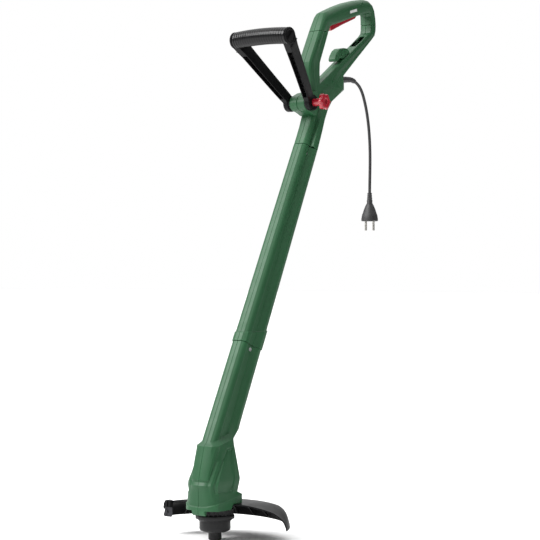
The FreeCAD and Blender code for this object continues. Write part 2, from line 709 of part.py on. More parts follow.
# ---------------------------------------------------------------- line head
def vent_ring():
    """The ribbed ring under the housing, around the gap that the cooling air leaves through."""
    body = new_body("vent_ring")
    ring = polygon(new_sketch(body, "XZ_Plane"), [
        ("14", "foot_z - 2.6"), ("30", "foot_z - 2.6"), ("30", "48.4"), ("31.5", "48.4"), ("31.5", "foot_z - 2.6"),
        ("34", "foot_z - 2.6"), ("34", "foot_z - 0.1"), ("14", "foot_z - 0.1")])
    revolve(body, ring)
    rib = polygon(new_sketch(body, "XY_Plane", ("0", "0", "48.4")), [
        ("31", "-0.8"), ("34.5", "-0.8"), ("34.5", "0.8"), ("31", "0.8")])
    around(body, rib, pad(body, rib, "foot_z - 50"), 24)


vent_ring()
turned("spool_base", [
    ("motor_shaft_round", "25"), ("7", "25"), ("7", "43"), ("33.8", "43"), ("33.8", "40.6"), ("flange_round", "40.6"),
    ("flange_round", "46.9"), ("flange_round - 1", "47.9"), ("9", "47.9"), ("9", "52"), ("motor_shaft_round", "52")])


def spool_cap():
    """The cup that holds the line spool, with the line's exit at the back."""
    body = new_body("spool_cap")
    revolve(body, polygon(new_sketch(body, "XZ_Plane"), [
        ("button_round + 0.4", "16.8"), ("22", "16.8"), ("cup_round - 1.2", "20"), ("cup_round", "23"),
        ("cup_round", "36.4"), ("33.4", "40.4"), ("33.4", "42.9"), ("cup_inner", "42.9"), ("cup_inner", "19.4"),
        ("button_round + 0.4", "19.4")]))
    hole = circle(new_sketch(body, "XZ_Plane"), "0", "29", "2.6")
    pocket(body, hole, "40", back=False)


spool_cap()
turned("line_eyelet", [
    ("1.4", "cup_inner - 0.8"), ("2.6", "cup_inner - 0.8"), ("2.6", "cup_round"), ("4", "cup_round"),
    ("4", "cup_round + 1.2"), ("1.4", "cup_round + 1.2")], ("0", "0", "29"), ALONG_Y)
turned("bump_button", [
    ("0", "0"), ("7.6", "0"), ("9", "1.4"), ("10.8", "1.6"), ("button_round", "3.4"), ("button_round", "19.8"),
    ("15.4", "19.8"), ("15.4", "20.6"), ("9.6", "20.6"), ("9.6", "4.2"), ("0", "4.2")])
turned("line_spool", [
    ("8", "spool_low"), ("spool_round", "spool_low"), ("spool_round", "spool_low + 1.5"),
    ("11.5", "spool_low + 1.5"), ("11.5", "spool_high - 1.5"), ("spool_round", "spool_high - 1.5"),
    ("spool_round", "spool_high"), ("8", "spool_high")])


def cutting_line():
    """The wound line: layers of turns seen as ridges."""
    turns = 7
    profile = [("11.5", "spool_low + 1.6")]
    for turn in range(turns):
        for step, radius in ((0.1, 20.6), (0.35, 21.5), (0.65, 21.5), (0.9, 20.6)):
            level = f"spool_low + 1.6 + {turn + step:.2f} * (spool_high - spool_low - 3.2) / {turns}"
            profile.append((str(radius), level))
    profile.append(("11.5", "spool_high - 1.6"))
    turned("cutting_line", profile)


cutting_line()


def bump_spring():
    """The compression spring between the boss and the button's floor."""
    coil = Part.makeHelix(3.6, 18, 7.6)
    profile = Part.Wire(Part.Circle(V(7.6, 0, 0), V(0, 1, 0), 0.7).toShape())
    spring = solid_feature("bump_spring", Part.Wire(coil.Edges).makePipeShell([profile], True, True))
    place(spring, ("0", "0", "5.2"))


bump_spring()


# ---------------------------------------------------------------- guard
def guard():
    """A domed deck behind the head with a skirt down its rim, cut square at the near end."""
    body = new_body("guard")
    turn = new_sketch(body, "XZ_Plane")
    outside = [
        ("22", "deck_top"), ("46", "deck_top"), ("62", "deck_top - 1.2"), ("80", "deck_top - 4.5"),
        ("95", "deck_top - 8"), ("105", "deck_top - 11"), ("115", "rim_top - 1"), ("124", "rim_top - 7.6"),
        ("guard_round - 5", "rim_top - 16"), ("guard_round", "skirt_low + 6"), ("guard_round + 1", "skirt_low")]
    inside = [
        ("guard_round + 1 - skirt_thick", "skirt_low"), ("guard_round - skirt_thick", "skirt_low + 5.2"),
        ("guard_round - 7.4", "rim_top - 17.6"), ("122.2", "rim_top - 9.4"), ("113.6", "rim_top - 3.2"),
        ("104", "deck_top - 13.6"), ("94.3", "deck_top - 10.6"), ("79.4", "deck_top - 7.1"),
        ("61.8", "deck_top - 3.9"), ("46", "deck_top - 2.8"), ("22", "deck_top - 2.8")]
    profile = polygon(turn, outside + inside)
    revolve(body, profile, "guard_sweep")
    # the profile starts on +X and turns towards +Y, so the body is swung to leave both ends square to the front
    near = polygon(new_sketch(body, "XY_Plane"), [("34", "-30"), ("150", "-30"), ("150", "44.3"), ("34", "-1.7")])
    pocket(body, near, "90", back=True)
    holder = polygon(new_sketch(body, "XY_Plane", ("0", "0", "skirt_low + 10")), [
        ("-guard_round + 1.3", "19.5"), ("-guard_round + 22.2", "17.3"), ("-guard_round + 23.1", "26"),
        ("-guard_round + 2.2", "28")])
    pad(body, holder, "rim_top - skirt_low - 6")
    for side in (1, -1):
        x = f"({side} * guard_screw_x * cos(guard_swing * 1deg) + guard_screw_y * sin(guard_swing * 1deg))"
        y = f"(guard_screw_y * cos(guard_swing * 1deg) - {side} * guard_screw_x * sin(guard_swing * 1deg))"
        pocket(body, circle(new_sketch(body, "XY_Plane"), x, y, "1.5"), "90", back=True)
    place(body, None, ((0, 0, 1), SIZES["guard_swing"]))


guard()


def line_cutter():
    """A blade on the far end of the guard that trims the line to length."""
    blade = box("18", "1.2", "18", ("-guard_round + 12", "4", "33"))
    place(blade, None, None)
    keep(blade, "line_cutter")


line_cutter()


# ---------------------------------------------------------------- mains cord
BOOT = [(388, 873.5, 7), (402, 875.4, 6.4), (416, 876.8, 5.8), (429, 877.2, 5.2), (441, 874.9, 4.6)]
ROUTE = [
    (441, 874.9), (452, 870.5), (464, 860), (473, 844.5), (480.5, 826), (486.5, 806), (491, 784),
    (494, 760), (495.5, 734), (495.5, 706), (494.5, 678), (494, 652)]


def cord_boot():
    """The strain relief: a tapering, slightly drooping sleeve, with a collar held in the shell."""
    rings = []
    for number, (y, z, radius) in enumerate(BOOT):
        before = BOOT[max(number - 1, 0)]
        after = BOOT[min(number + 1, len(BOOT) - 1)]
        direction = V(0, after[0] - before[0], after[1] - before[1])
        rings.append(Part.Wire(Part.Circle(V(0, y, z), direction, radius).toShape()))
    return solid_feature("cord_boot", Part.makeLoft(rings, True, False))


cord_boot()
power_cord = tube("power_cord", [V(0, y, z) for y, z in ROUTE], size("cord_round"))
solid_feature("power_cord", power_cord)
PLUG_TOP = ROUTE[-1][1]
plug = [("0", "0"), ("4.6", "0"), ("5.6", "-22"), ("9", "-26"), ("12", "-34"), ("17.5", "-52"), ("17.5", "-58"),
        ("0", "-58")]
turned("plug_body", [(radius, f"{level} + {PLUG_TOP}") for radius, level in plug], ("0", str(ROUTE[-1][0]), "0"))
group("plug_pins", [
    cylinder("2.4", "19", (f"{side} * 9.5", str(ROUTE[-1][0]), str(PLUG_TOP - 58 - 19))) for side in (1, -1)])


# ---------------------------------------------------------------- leads and fasteners
def lead(label, x):
    """One insulated wire from the switch down the handle and the shaft to the motor."""
    def point(across, along):
        lean = math.radians(size("lean"))
        y = size("axis_y") + across * math.cos(lean) + along * math.sin(lean)
        z = size("axis_z") - across * math.sin(lean) + along * math.cos(lean)
        return V(x, y, z)
    points = [V(x, 399, 1020.5), V(x, 372, 1010), V(x, 332, 992), V(x, 318, 962), V(x, 293, 908),
              V(x, 287, 868), point(-9, 660), point(-8, 560), point(-8, 140), point(-5, 10),
              V(1.15 * x, 8, 197), V(1.2 * x, 3.5, 180), V(1.4 * x, -5.5, 169), V(1.6 * x, -14, 156)]
    return tube(label, points, 1.1)


solid_feature("brown_lead", lead("brown_lead", 10))
solid_feature("blue_lead", lead("blue_lead", -10))


def screw(centre, turn, head="3.6", shank="1.5", long="16"):
    """A pan-head screw; its axis is local Z and the head's underside is at the centre."""
    top = cylinder(head, "2.2", centre, turn)
    direction = FreeCAD.Rotation(V(*turn[0]), turn[1]).multVec(V(0, 0, 1)) if turn else V(0, 0, 1)
    foot = [f"{text} - ({long}) * {component:.4f}" for text, component in zip(centre, direction)]
    return fused([top, cylinder(shank, long, foot, turn)])


def on_side(side, across, along, inset):
    y, z = in_shaft(across, along)
    return (f"{side} * ({inset})", y, z)


group("section_screws", [
    screw(on_side(1, "-1", "high_seam - 16", "nose_half - 2.4"), ALONG_X, long="10"),
    screw(on_side(1, "0", "low_seam - 8", "nose_half - 2.4"), ALONG_X, long="10")])
group("shell_screws", [
    screw(on_side(-1, "0", along, "nose_half - 2.4"), AGAINST_X, long="10")
    for along in ("high_seam + 60", "high_seam - 16", "low_seam + 210", "low_seam + 20", "low_seam - 60")])
clamp_screw_places = [(f"{side} * 8", "heel_y - 20", "boot_z - 4") for side in (1, -1)]
keep(box("24", "8", "4", ("-12", "heel_y - 24", "boot_z - 8")), "cord_clamp")
group("clamp_screws", [screw(spot, None, long="8") for spot in clamp_screw_places])
group("guard_screws", [
    screw((f"{side} * guard_screw_x", "guard_screw_y", "deck_top - 2.8"), ((1, 0, 0), 180), long="9")
    for side in (1, -1)])
keep(screw(("-guard_round + 17", "4", "42"), ((1, 0, 0), 90), head="2.6", shank="1.2", long="4"), "cutter_screw")

doc.recompute()


def check_and_write():
    broken = [item.Label for item in doc.Objects if "Invalid" in item.State or "Error" in item.State]
    for item in PARTS:
        if item.Shape.isNull() or not item.Shape.isValid() or not item.Shape.Solids:
            broken.append(item.Label)
    if broken:
        raise ValueError(f"failed objects: {broken}")
    os.makedirs("parts", exist_ok=True)
    for item in PARTS:
        item.Shape.exportStep(f"parts/{item.Label}.step")
    print(f"{len(PARTS)} sub-parts written")


check_and_write()
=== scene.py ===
"""Corded string trimmer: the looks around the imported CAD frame.

Shapes are written in millimetres in the shared frame (+Z up, -Y forward, X = 0 the plane of symmetry).
They are turned into metres when a mesh is made.
"""
import bmesh
import bpy
import json
import math
from mathutils import Matrix, Vector


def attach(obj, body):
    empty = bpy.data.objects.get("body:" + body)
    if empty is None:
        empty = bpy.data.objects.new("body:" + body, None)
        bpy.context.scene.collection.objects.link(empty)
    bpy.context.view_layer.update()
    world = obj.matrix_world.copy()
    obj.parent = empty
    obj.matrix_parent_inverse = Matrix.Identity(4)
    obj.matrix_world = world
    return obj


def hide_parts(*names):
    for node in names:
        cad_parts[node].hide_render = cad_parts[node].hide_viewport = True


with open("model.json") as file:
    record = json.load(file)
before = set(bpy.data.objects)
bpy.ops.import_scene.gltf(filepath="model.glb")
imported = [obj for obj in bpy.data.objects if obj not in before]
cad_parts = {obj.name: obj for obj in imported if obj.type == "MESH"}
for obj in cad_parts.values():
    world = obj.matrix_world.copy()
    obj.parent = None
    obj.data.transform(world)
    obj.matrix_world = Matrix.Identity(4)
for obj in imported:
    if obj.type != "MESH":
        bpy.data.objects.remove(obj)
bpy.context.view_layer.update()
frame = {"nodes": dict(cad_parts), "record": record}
MM = 0.001
GAP = 0.12  # half the gap between the left and the right shells
SHARP = 22  # the least angle in degrees at which a casing's edges are bevelled


# ---------------------------------------------------------------- camera
def make_camera():
    """Level view from the front left, far enough away for a flat perspective; places are in metres."""
    azimuth = math.radians(38)
    target = Vector((0, 0.1634, 0.4944))
    distance = 3.45
    back = Vector((math.sin(azimuth), -math.cos(azimuth), 0))
    data = bpy.data.cameras.new("camera")
    data.lens = 121.1
    data.sensor_width = 36
    data.clip_end = 50
    camera = bpy.data.objects.new("camera", data)
    camera.location = target + back * distance
    camera.rotation_mode = "QUATERNION"
    camera.rotation_quaternion = (-back).to_track_quat("-Z", "Y")
    bpy.context.scene.collection.objects.link(camera)
    bpy.context.scene.camera = camera


make_camera()


# ---------------------------------------------------------------- materials
def node(tree, kind, inputs=None, **settings):
    """A new shader node with its settings and the values of its named inputs."""
    made = tree.nodes.new(kind)
    for key, value in settings.items():
        setattr(made, key, value)
    for key, value in (inputs or {}).items():
        made.inputs[key].default_value = value
    return made


def ramp(tree, stops):
    """A colour ramp with a stop for each (position, colour)."""
    made = tree.nodes.new("ShaderNodeValToRGB")
    elements = made.color_ramp.elements
    for element, (position, colour) in zip(elements, (stops[0], stops[-1])):
        element.position = position
        element.color = (*colour, 1)
    for position, colour in stops[1:-1]:
        elements.new(position).color = (*colour, 1)
    return made


def shade(colour, factor):
    """The colour made lighter or darker."""
    return tuple(min(1, c * factor) for c in colour)


def material(name, colour, rough=0.42, grain=1400, bump=0.12, cloud=9, spread=0.12, wear=1.5, metal=0,
             rough_spread=0.1, specular=0.5, coat=0, stretch=None):
    """A moulded or metal surface: soft colour drift, fine grain, worn edges, uneven gloss."""
    made = bpy.data.materials.new(name)
    made.use_nodes = True
    tree = made.node_tree
    shader = tree.nodes["Principled BSDF"]
    shader.inputs["Metallic"].default_value = metal
    shader.inputs["Specular IOR Level"].default_value = specular
    shader.inputs["Coat Weight"].default_value = coat
    shader.inputs["Coat Roughness"].default_value = 0.12
    link = tree.links.new
    place = node(tree, "ShaderNodeTexCoord").outputs["Object"]
    if stretch:
        mapping = node(tree, "ShaderNodeMapping", {"Scale": stretch})
        link(place, mapping.inputs["Vector"])
        place = mapping.outputs["Vector"]
    drift = node(tree, "ShaderNodeTexNoise", {"Scale": cloud, "Detail": 5, "Roughness": 0.6})
    link(place, drift.inputs["Vector"])
    tint = ramp(tree, [(0.25, shade(colour, 1 - spread)), (0.5, colour), (0.78, shade(colour, 1 + spread))])
    link(drift.outputs["Fac"], tint.inputs["Fac"])
    speck = node(tree, "ShaderNodeTexNoise", {"Scale": grain, "Detail": 3, "Roughness": 0.65})
    link(place, speck.inputs["Vector"])
    edges = node(tree, "ShaderNodeNewGeometry")
    worn = ramp(tree, [(0.515, (0, 0, 0)), (0.56, (0.6, 0.6, 0.6))])
    link(edges.outputs["Pointiness"], worn.inputs["Fac"])
    patch = node(tree, "ShaderNodeTexNoise", {"Scale": 60, "Detail": 4})
    link(place, patch.inputs["Vector"])
    broken = node(tree, "ShaderNodeMath", operation="MULTIPLY")
    link(worn.outputs["Color"], broken.inputs[0])
    link(patch.outputs["Fac"], broken.inputs[1])
    mix = node(tree, "ShaderNodeMix", data_type="RGBA")
    mix.inputs["B"].default_value = (*shade(colour, wear), 1)
    link(broken.outputs[0], mix.inputs["Factor"])
    link(tint.outputs["Color"], mix.inputs["A"])
    link(mix.outputs["Result"], shader.inputs["Base Color"])
    limits = {"To Min": rough - rough_spread, "To Max": rough + rough_spread}
    gloss = node(tree, "ShaderNodeMapRange", limits)
    link(patch.outputs["Fac"], gloss.inputs["Value"])
    link(gloss.outputs["Result"], shader.inputs["Roughness"])
    relief = node(tree, "ShaderNodeBump", {"Strength": bump, "Distance": 0.0004})
    link(speck.outputs["Fac"], relief.inputs["Height"])
    link(relief.outputs["Normal"], shader.inputs["Normal"])
    return made


GREEN = (0.012, 0.068, 0.0245)
MATERIALS = {
    "green_plastic": material("green", GREEN, rough=0.46, spread=0.08, wear=1.9, bump=0.08, specular=0.32),
    "black_plastic": material("black", (0.004, 0.004, 0.0044), rough=0.38, wear=2.4, bump=0.15,
                              specular=0.09),
    "gloss_black_plastic": material("grip_black", (0.003, 0.003, 0.0035), rough=0.17, wear=1.2, bump=0.02,
                                    specular=0.25, rough_spread=0.06),
    "head_plastic": material("head_black", (0.013, 0.013, 0.0135), rough=0.44, wear=1.9, bump=0.12,
                             specular=0.2),
    "red_plastic": material("red", (0.31, 0.007, 0.018), rough=0.26, wear=1.05, bump=0.02, spread=0.05,
                            rough_spread=0.07, coat=0.25),
    "cord_rubber": material("cord_rubber", (0.012, 0.012, 0.013), rough=0.55, grain=2200, bump=0.2),
    "line_nylon": material("line_nylon", (0.55, 0.2, 0.03), rough=0.3, grain=900),
    "dark_insulator": material("insulator", (0.02, 0.02, 0.021), rough=0.5),
    "brown_insulation": material("brown_wire", (0.12, 0.05, 0.025), rough=0.35),
    "blue_insulation": material("blue_wire", (0.02, 0.08, 0.35), rough=0.35),
    "grey_plastic": material("grey_part", (0.2, 0.2, 0.2), rough=0.45),
    "bright_steel": material("steel", (0.55, 0.55, 0.56), rough=0.3, metal=1, grain=500, wear=1.2,
                             stretch=(1, 1, 12)),
    "screw_steel": material("screw_steel", (0.3, 0.3, 0.31), rough=0.34, metal=1, grain=1600, wear=1.6),
    "nickel": material("nickel", (0.66, 0.64, 0.6), rough=0.2, metal=1, grain=900, wear=1.1),
    "brass": material("brass", (0.62, 0.42, 0.14), rough=0.3, metal=1, grain=900, wear=1.2),
    "lamination_steel": material("laminations", (0.25, 0.25, 0.26), rough=0.45, metal=1, grain=300,
                                 stretch=(1, 1, 20), bump=0.4),
    "copper": material("copper", (0.6, 0.24, 0.09), rough=0.35, metal=1, grain=300, stretch=(1, 1, 16),
                       bump=0.5),
    "carbon": material("carbon", (0.02, 0.02, 0.02), rough=0.7, bump=0.3),
}
BLADE = material("blade_steel", (0.035, 0.035, 0.038), rough=0.4, metal=1, grain=420, wear=1.8,
                 stretch=(1, 1, 9))
PLATE = material("plate_grey", (0.62, 0.63, 0.62), rough=0.35, wear=0.8, spread=0.06)
# carried-over nodes that don't take their slot's material
PAINTED = {"cutter_screw": BLADE, "clamp_washers": BLADE}


# ---------------------------------------------------------------- mesh helpers
class Shape:
    """Points in millimetres and the faces between them, gathered before they become one mesh."""

    def __init__(self):
        self.points = []
        self.faces = []

    def add(self, points):
        first = len(self.points)
        self.points += [Vector(p) for p in points]
        return first

    def skin(self, rows, closed=False, caps=False):
        """Quads between rows of equal length; a closed row joins its last point to its first."""
        count = len(rows[0])
        starts = [self.add(row) for row in rows]
        span = count if closed else count - 1
        for a, b in zip(starts, starts[1:]):
            for i in range(span):
                j = (i + 1) % count
                self.faces.append((a + i, a + j, b + j, b + i))
        if caps:
            self.faces.append(tuple(starts[0] + i for i in reversed(range(count))))
            self.faces.append(tuple(starts[-1] + i for i in range(count)))
        return starts

    def prism(self, outline, low, high):
        """An outline of (y, z) points, pushed out along X from low to high."""
        self.skin([[(x, y, z) for y, z in outline] for x in (low, high)], closed=True, caps=True)

    def turned(self, profile, steps=64, swell=None, shift=(0, 0, 0), axis="Z"):
        """A profile of (radius, level) turned round an axis; swell(angle, level, radius) scales the radius."""
        rows = []
        for radius, level in profile:
            row = []
            for step in range(steps):
                angle = 2 * math.pi * step / steps
                r = radius * (swell(angle, level, radius) if swell else 1)
                x, y = r * math.cos(angle), r * math.sin(angle)
                spot = (level, x, y) if axis == "X" else (x, y, level)
                row.append(Vector(spot) + Vector(shift))
            rows.append(row)
        self.skin(rows, closed=True, caps=True)

    def box(self, low, high):
        """A box between two opposite corners."""
        (x0, y0, z0), (x1, y1, z1) = low, high
        levels = [[(x0, y0, z), (x1, y0, z), (x1, y1, z), (x0, y1, z)] for z in (z0, z1)]
        self.skin(levels, closed=True, caps=True)


def placed(name, mesh, paint):
    """Puts a mesh into the scene as a smooth-shaded object with one material."""
    made = bpy.data.objects.new(name, mesh)
    bpy.context.scene.collection.objects.link(made)
    mesh.materials.append(paint)
    for polygon in mesh.polygons:
        polygon.use_smooth = True
    return made


def add_edges(made, width, angle, segments=2):
    """Bevels the edges that turn by more than an angle in degrees."""
    edge = made.modifiers.new("edges", "BEVEL")
    edge.width = width * MM
    edge.segments = segments
    edge.limit_method = "ANGLE"
    edge.angle_limit = math.radians(angle)
    edge.harden_normals = True
    edge.use_clamp_overlap = False


def finished(name, shape, slot, body, replaces=(), bevel=0.0, angle=35, wall=0.0, paint=None, move=None,
             mirror=False, segments=2):
    """Makes the object: welded, faces outward, with its wall, edges, material, body and CAD nodes."""
    mesh = bpy.data.meshes.new(name)
    flip = -1 if mirror else 1
    points = [(move @ p if move else p) for p in shape.points]
    mesh.from_pydata([(flip * p.x * MM, p.y * MM, p.z * MM) for p in points], [], shape.faces)
    work = bmesh.new()
    work.from_mesh(mesh)
    bmesh.ops.remove_doubles(work, verts=work.verts, dist=0.00002)
    bmesh.ops.dissolve_degenerate(work, edges=work.edges, dist=0.00001)
    bmesh.ops.recalc_face_normals(work, faces=work.faces)
    work.to_mesh(mesh)
    work.free()
    made = placed(name, mesh, paint or MATERIALS[slot])
    if wall:
        solid = made.modifiers.new("wall", "SOLIDIFY")
        solid.thickness = wall * MM
        solid.offset = -1
        solid.use_even_offset = True
        solid.thickness_clamp = 1.0
    if bevel:
        add_edges(made, bevel, angle, segments)
    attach(made, body)
    if replaces:
        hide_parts(*replaces)
    return made


def cut(target, shape, name, mirror=False):
    """Takes a shape out of a finished piece, before its edges are bevelled."""
    tool = finished(name, shape, "black_plastic", "frame", mirror=mirror)
    change = target.modifiers.new(name, "BOOLEAN")
    change.operation = "DIFFERENCE"
    change.solver = "EXACT"
    change.object = tool
    bpy.context.view_layer.objects.active = target
    names = [m.name for m in target.modifiers]
    target.modifiers.move(names.index(name), 1 if "wall" in names else 0)
    for modifier in list(target.modifiers):
        if modifier.type in {"BOOLEAN", "SOLIDIFY"}:
            apply_modifier(target, modifier.name)
    bpy.data.objects.remove(tool)


def apply_modifier(target, name):
    """Applies the named modifier to the mesh while the bevels are switched off."""
    later = []
    for modifier in target.modifiers:
        if modifier.type == "BEVEL":
            later.append(modifier)
            modifier.show_viewport = False
    bpy.context.view_layer.update()
    with bpy.context.temp_override(object=target, active_object=target, selected_objects=[target]):
        bpy.ops.object.modifier_apply(modifier=name)
    for modifier in later:
        modifier.show_viewport = True


def smooth_line(points, count):
    """Points on a Catmull-Rom line through the given ones."""
    made = []
    spans = len(points) - 1
    for step in range(count):
        place = step / (count - 1) * spans
        i = min(int(place), spans - 1)
        t = place - i
        p0, p1, p2, p3 = (points[max(0, min(spans, i + k))] for k in (-1, 0, 1, 2))
        made.append(tuple(0.5 * (2 * b + (c - a) * t + (2 * a - 5 * b + 4 * c - d) * t * t
                                 + (3 * b - a - 3 * c + d) * t ** 3) for a, b, c, d in zip(p0, p1, p2, p3)))
    return made


# ---------------------------------------------------------------- mains cord
ROUTE = [
    (441, 874.9), (452, 870.5), (464, 860), (473, 844.5), (480.5, 826), (486.5, 806), (491, 784),
    (494, 760), (495.5, 734), (495.5, 706), (494.5, 678), (494, 652)]
CORD_ROUND = 3


def make_boot():
    """The tapering sleeve at the cord's exit, ribbed where it flexes."""
    steps = 40
    thick_end, taper = 6.65, 2.5
    line = smooth_line([(383, 873.2), (402, 875.4), (416, 876.8), (429, 877.2), ROUTE[0]], steps + 1)
    rows = []
    for number, (y, z) in enumerate(line):
        before, after = line[max(0, number - 1)], line[min(steps, number + 1)]
        ahead = Vector((0, after[0] - before[0], after[1] - before[1])).normalized()
        across = Vector((0, -ahead.z, ahead.y))
        along = number / steps
        rib = 0.45 * (math.cos(along * 2 * math.pi * 9) > 0.2) if 0.2 < along < 0.93 else 0
        radius = thick_end - taper * along + rib
        rows.append([Vector((0, y, z)) + radius * (math.cos(a) * across + Vector((math.sin(a), 0, 0)))
                     for a in (2 * math.pi * k / 36 for k in range(36))])
    shape = Shape()
    shape.skin(rows, closed=True, caps=True)
    return finished("cord_boot_sleeve", shape, "cord_rubber", "frame", ["cord_boot"], bevel=0.2, angle=40)


def make_plug():
    """A moulded plug: a ribbed neck that widens to the face with the pins."""
    top = ROUTE[-1][1]
    shape = Shape()
    shape.turned([(3.1, top), (4.4, top), (4.8, top - 2), (4.2, top - 3.5), (5, top - 5), (4.4, top - 7),
                  (5.3, top - 8.5), (4.6, top - 10.5), (5.6, top - 12), (4.9, top - 14), (5.9, top - 15.5),
                  (5.6, top - 21), (8.6, top - 26), (12, top - 34), (14.5, top - 42), (15.6, top - 44),
                  (17.2, top - 52), (17.4, top - 57), (16.2, top - 58)], steps=64,
                 swell=lambda angle, z, r: 1 - 0.12 * abs(math.sin(angle)) ** 3 * (z < top - 24),
                 shift=(0, ROUTE[-1][0], 0))
    return finished("mains_plug", shape, "cord_rubber", "frame", ["plug_body"], bevel=0.5, angle=40)


def make_cord(pieces):
    """The cord as one open NURBS line from the sleeve to the plug."""
    data = bpy.data.curves.new("mains_cord", "CURVE")
    data.dimensions = "3D"
    data.bevel_depth = CORD_ROUND * MM
    data.bevel_resolution = 6
    data.resolution_u = 16
    data.use_fill_caps = True
    spline = data.splines.new("NURBS")
    spline.points.add(len(ROUTE) - 1)
    for point, (y, z) in zip(spline.points, ROUTE):
        point.co = (0, y * MM, z * MM, 1)
    spline.order_u = 3
    spline.use_endpoint_u = True
    data.materials.append(MATERIALS["cord_rubber"])
    cord = bpy.data.objects.new("mains_cord", data)
    bpy.context.scene.collection.objects.link(cord)
    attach(cord, "frame")
    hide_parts("power_cord")


make_cord([make_boot(), make_plug(), frame["nodes"]["plug_pins"]])


# ---------------------------------------------------------------- leaning shaft
LEAN = math.radians(25.7)
AXIS_Y, AXIS_Z = 17.9, 212
LOW_SEAM, HIGH_SEAM = 157.6, 578
LOW_HALF, HIGH_HALF, FOOT_HALF = 22, 16.2, 24.5


def in_shaft(x, across, along):
    """A point given along and across the leaning shaft's axis."""
    return Vector((x, AXIS_Y + across * math.cos(LEAN) + along * math.sin(LEAN),
                   AXIS_Z - across * math.sin(LEAN) + along * math.cos(LEAN)))


def shaft_half(along):
    """Half depth of the shaft's section at a distance along its axis."""
    if along < LOW_SEAM:
        return FOOT_HALF + (LOW_HALF - FOOT_HALF) * (along + 38) / (LOW_SEAM + 38)
    return LOW_HALF + (HIGH_HALF - LOW_HALF) * (along - LOW_SEAM) / (HIGH_SEAM - LOW_SEAM)


def shaft_profile(half, proud=0.0):
    """Half of a section, front to back, as (x, across): rounded nose, sunk side panel, bevel, wide spine."""
    h = half + proud
    p = proud
    return [(0, -h), (8, -h), (8.8, -h + 0.5), (11.6, -h + 1.4), (13.6, -h + 2.7), (15.2 + p, -h + 4.4),
            (16.5 + p, -h + 7.2), (17 + p, -h + 10), (17 + p, -half + 11.4), (16 + p, -half + 12.2),
            (16 + p, half - 19.4), (17 + p, half - 18.6), (17.4 + p, half - 17.4), (24.5 + p, half - 10.2),
            (25 + p, half - 9.2), (25 + p, half - 3), (24.2 + p, h - 1), (22 + p, h), (0, h + 0.4)]


def shaft_row(along, proud=0.0, slant=0.0):
    """One section; slant pushes it up along the shaft from front to back."""
    half = shaft_half(along)
    return [in_shaft(x, across, along + slant * (across + half) / (2 * half))
            for x, across in shaft_profile(half, proud)]


def shell(name, rows, slot, node_name, side, panels=(), wall=2.2, bevel=0.45):
    """One half of a clamshell: a skin of rows from front centre to back centre, panels, wall and edges.

    A panel is its rows, its columns, the width of its rim and how far it stands out, or lies sunk if negative.
    """
    mesh = bpy.data.meshes.new(name)
    work = bmesh.new()
    flip = -1 if side < 0 else 1
    grid = [[work.verts.new((flip * max(p[0], GAP) * MM, p[1] * MM, p[2] * MM)) for p in row] for row in rows]
    quads = {}
    for r, (a, b) in enumerate(zip(grid, grid[1:])):
        for c in range(len(a) - 1):
            quads[(r, c)] = work.faces.new((a[c], a[c + 1], b[c + 1], b[c]))
    bmesh.ops.recalc_face_normals(work, faces=work.faces)
    middle = quads[(len(rows) // 2 - 1, len(rows[0]) // 2)]
    if middle.normal.x * flip < 0:
        bmesh.ops.reverse_faces(work, faces=work.faces)
    for panel_rows, panel_columns, rim, depth in panels:
        chosen = [quads[(r, c)] for r in range(*panel_rows) for c in range(*panel_columns)]
        bmesh.ops.inset_region(work, faces=chosen, thickness=rim * MM, depth=depth * MM, use_boundary=False,
                               use_even_offset=depth > 0)
    bmesh.ops.remove_doubles(work, verts=work.verts, dist=0.00001)
    work.to_mesh(mesh)
    work.free()
    made = placed(name, mesh, MATERIALS[slot])
    solid = made.modifiers.new("wall", "SOLIDIFY")
    solid.thickness = wall * MM
    solid.offset = -1
    add_edges(made, bevel, SHARP)
    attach(made, "frame")
    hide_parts(node_name)
    return made


def screw_well(shape, centre, radius=5.2, depth=1.6):
    """A raised ring round a sunk screw, with its axis along X at centre (x, y, z)."""
    x, y, z = centre
    shape.turned([(radius + 1.1, x - 2), (radius + 1.1, x - 0.1), (radius + 0.5, x + 0.35), (radius, x + 0.35),
                  (radius - 0.5, x - 0.2), (radius - 0.9, x - depth), (0.01, x - depth)], steps=40,
                 shift=(0, y, z), axis="X")


def make_shaft(side, word):
    """A shell of the tube: a proud sleeve with a slanted top at the lower seam, then a straight taper."""
    proud, slant = 1.3, 22
    plain, end_gap, steps = 46, 0.3, 8
    rows = [shaft_row(LOW_SEAM + 0.35, proud), shaft_row(LOW_SEAM + 6, proud),
            shaft_row(LOW_SEAM + 17, proud, slant), shaft_row(LOW_SEAM + 18.4, 0.0, slant),
            shaft_row(LOW_SEAM + plain)]
    for step in range(1, steps + 1):
        rows.append(shaft_row(LOW_SEAM + plain + (HIGH_SEAM - LOW_SEAM - plain - end_gap) * step / steps))
    shell("shaft_casing_" + word, rows, "green_plastic", "shaft_shell_" + word, side)


# ---------------------------------------------------------------- motor housing
def block_row(level, front, side, back, panel, band, rise=0.0):
    """Half of a level of the motor housing; panel and band are the corners where those faces end."""
    px, py = panel
    bx, by = band
    far = back - 7
    points = [(0, front), (0.3 * px, front), (0.6 * px, front + 0.13 * (py - front)),
              (0.84 * px, front + 0.45 * (py - front)), (px, py),
              (0.5 * (px + bx) + 0.9, 0.5 * (py + by) - 0.9), (bx, by), (side - 0.4, by + 4.5)]
    start = by + 9
    points += [(side, start + (far - start) * share) for share in (0, 0.3, 0.5, 0.62, 0.8, 1)]
    points += [(side - 0.3, back - 3), (side - 1.2, back - 1.2), (side - 3, back - 0.2), (side - 6, back),
               (0, back)]
    return [Vector((x, y, level + rise * max(0.0, y - py))) for x, y in points]


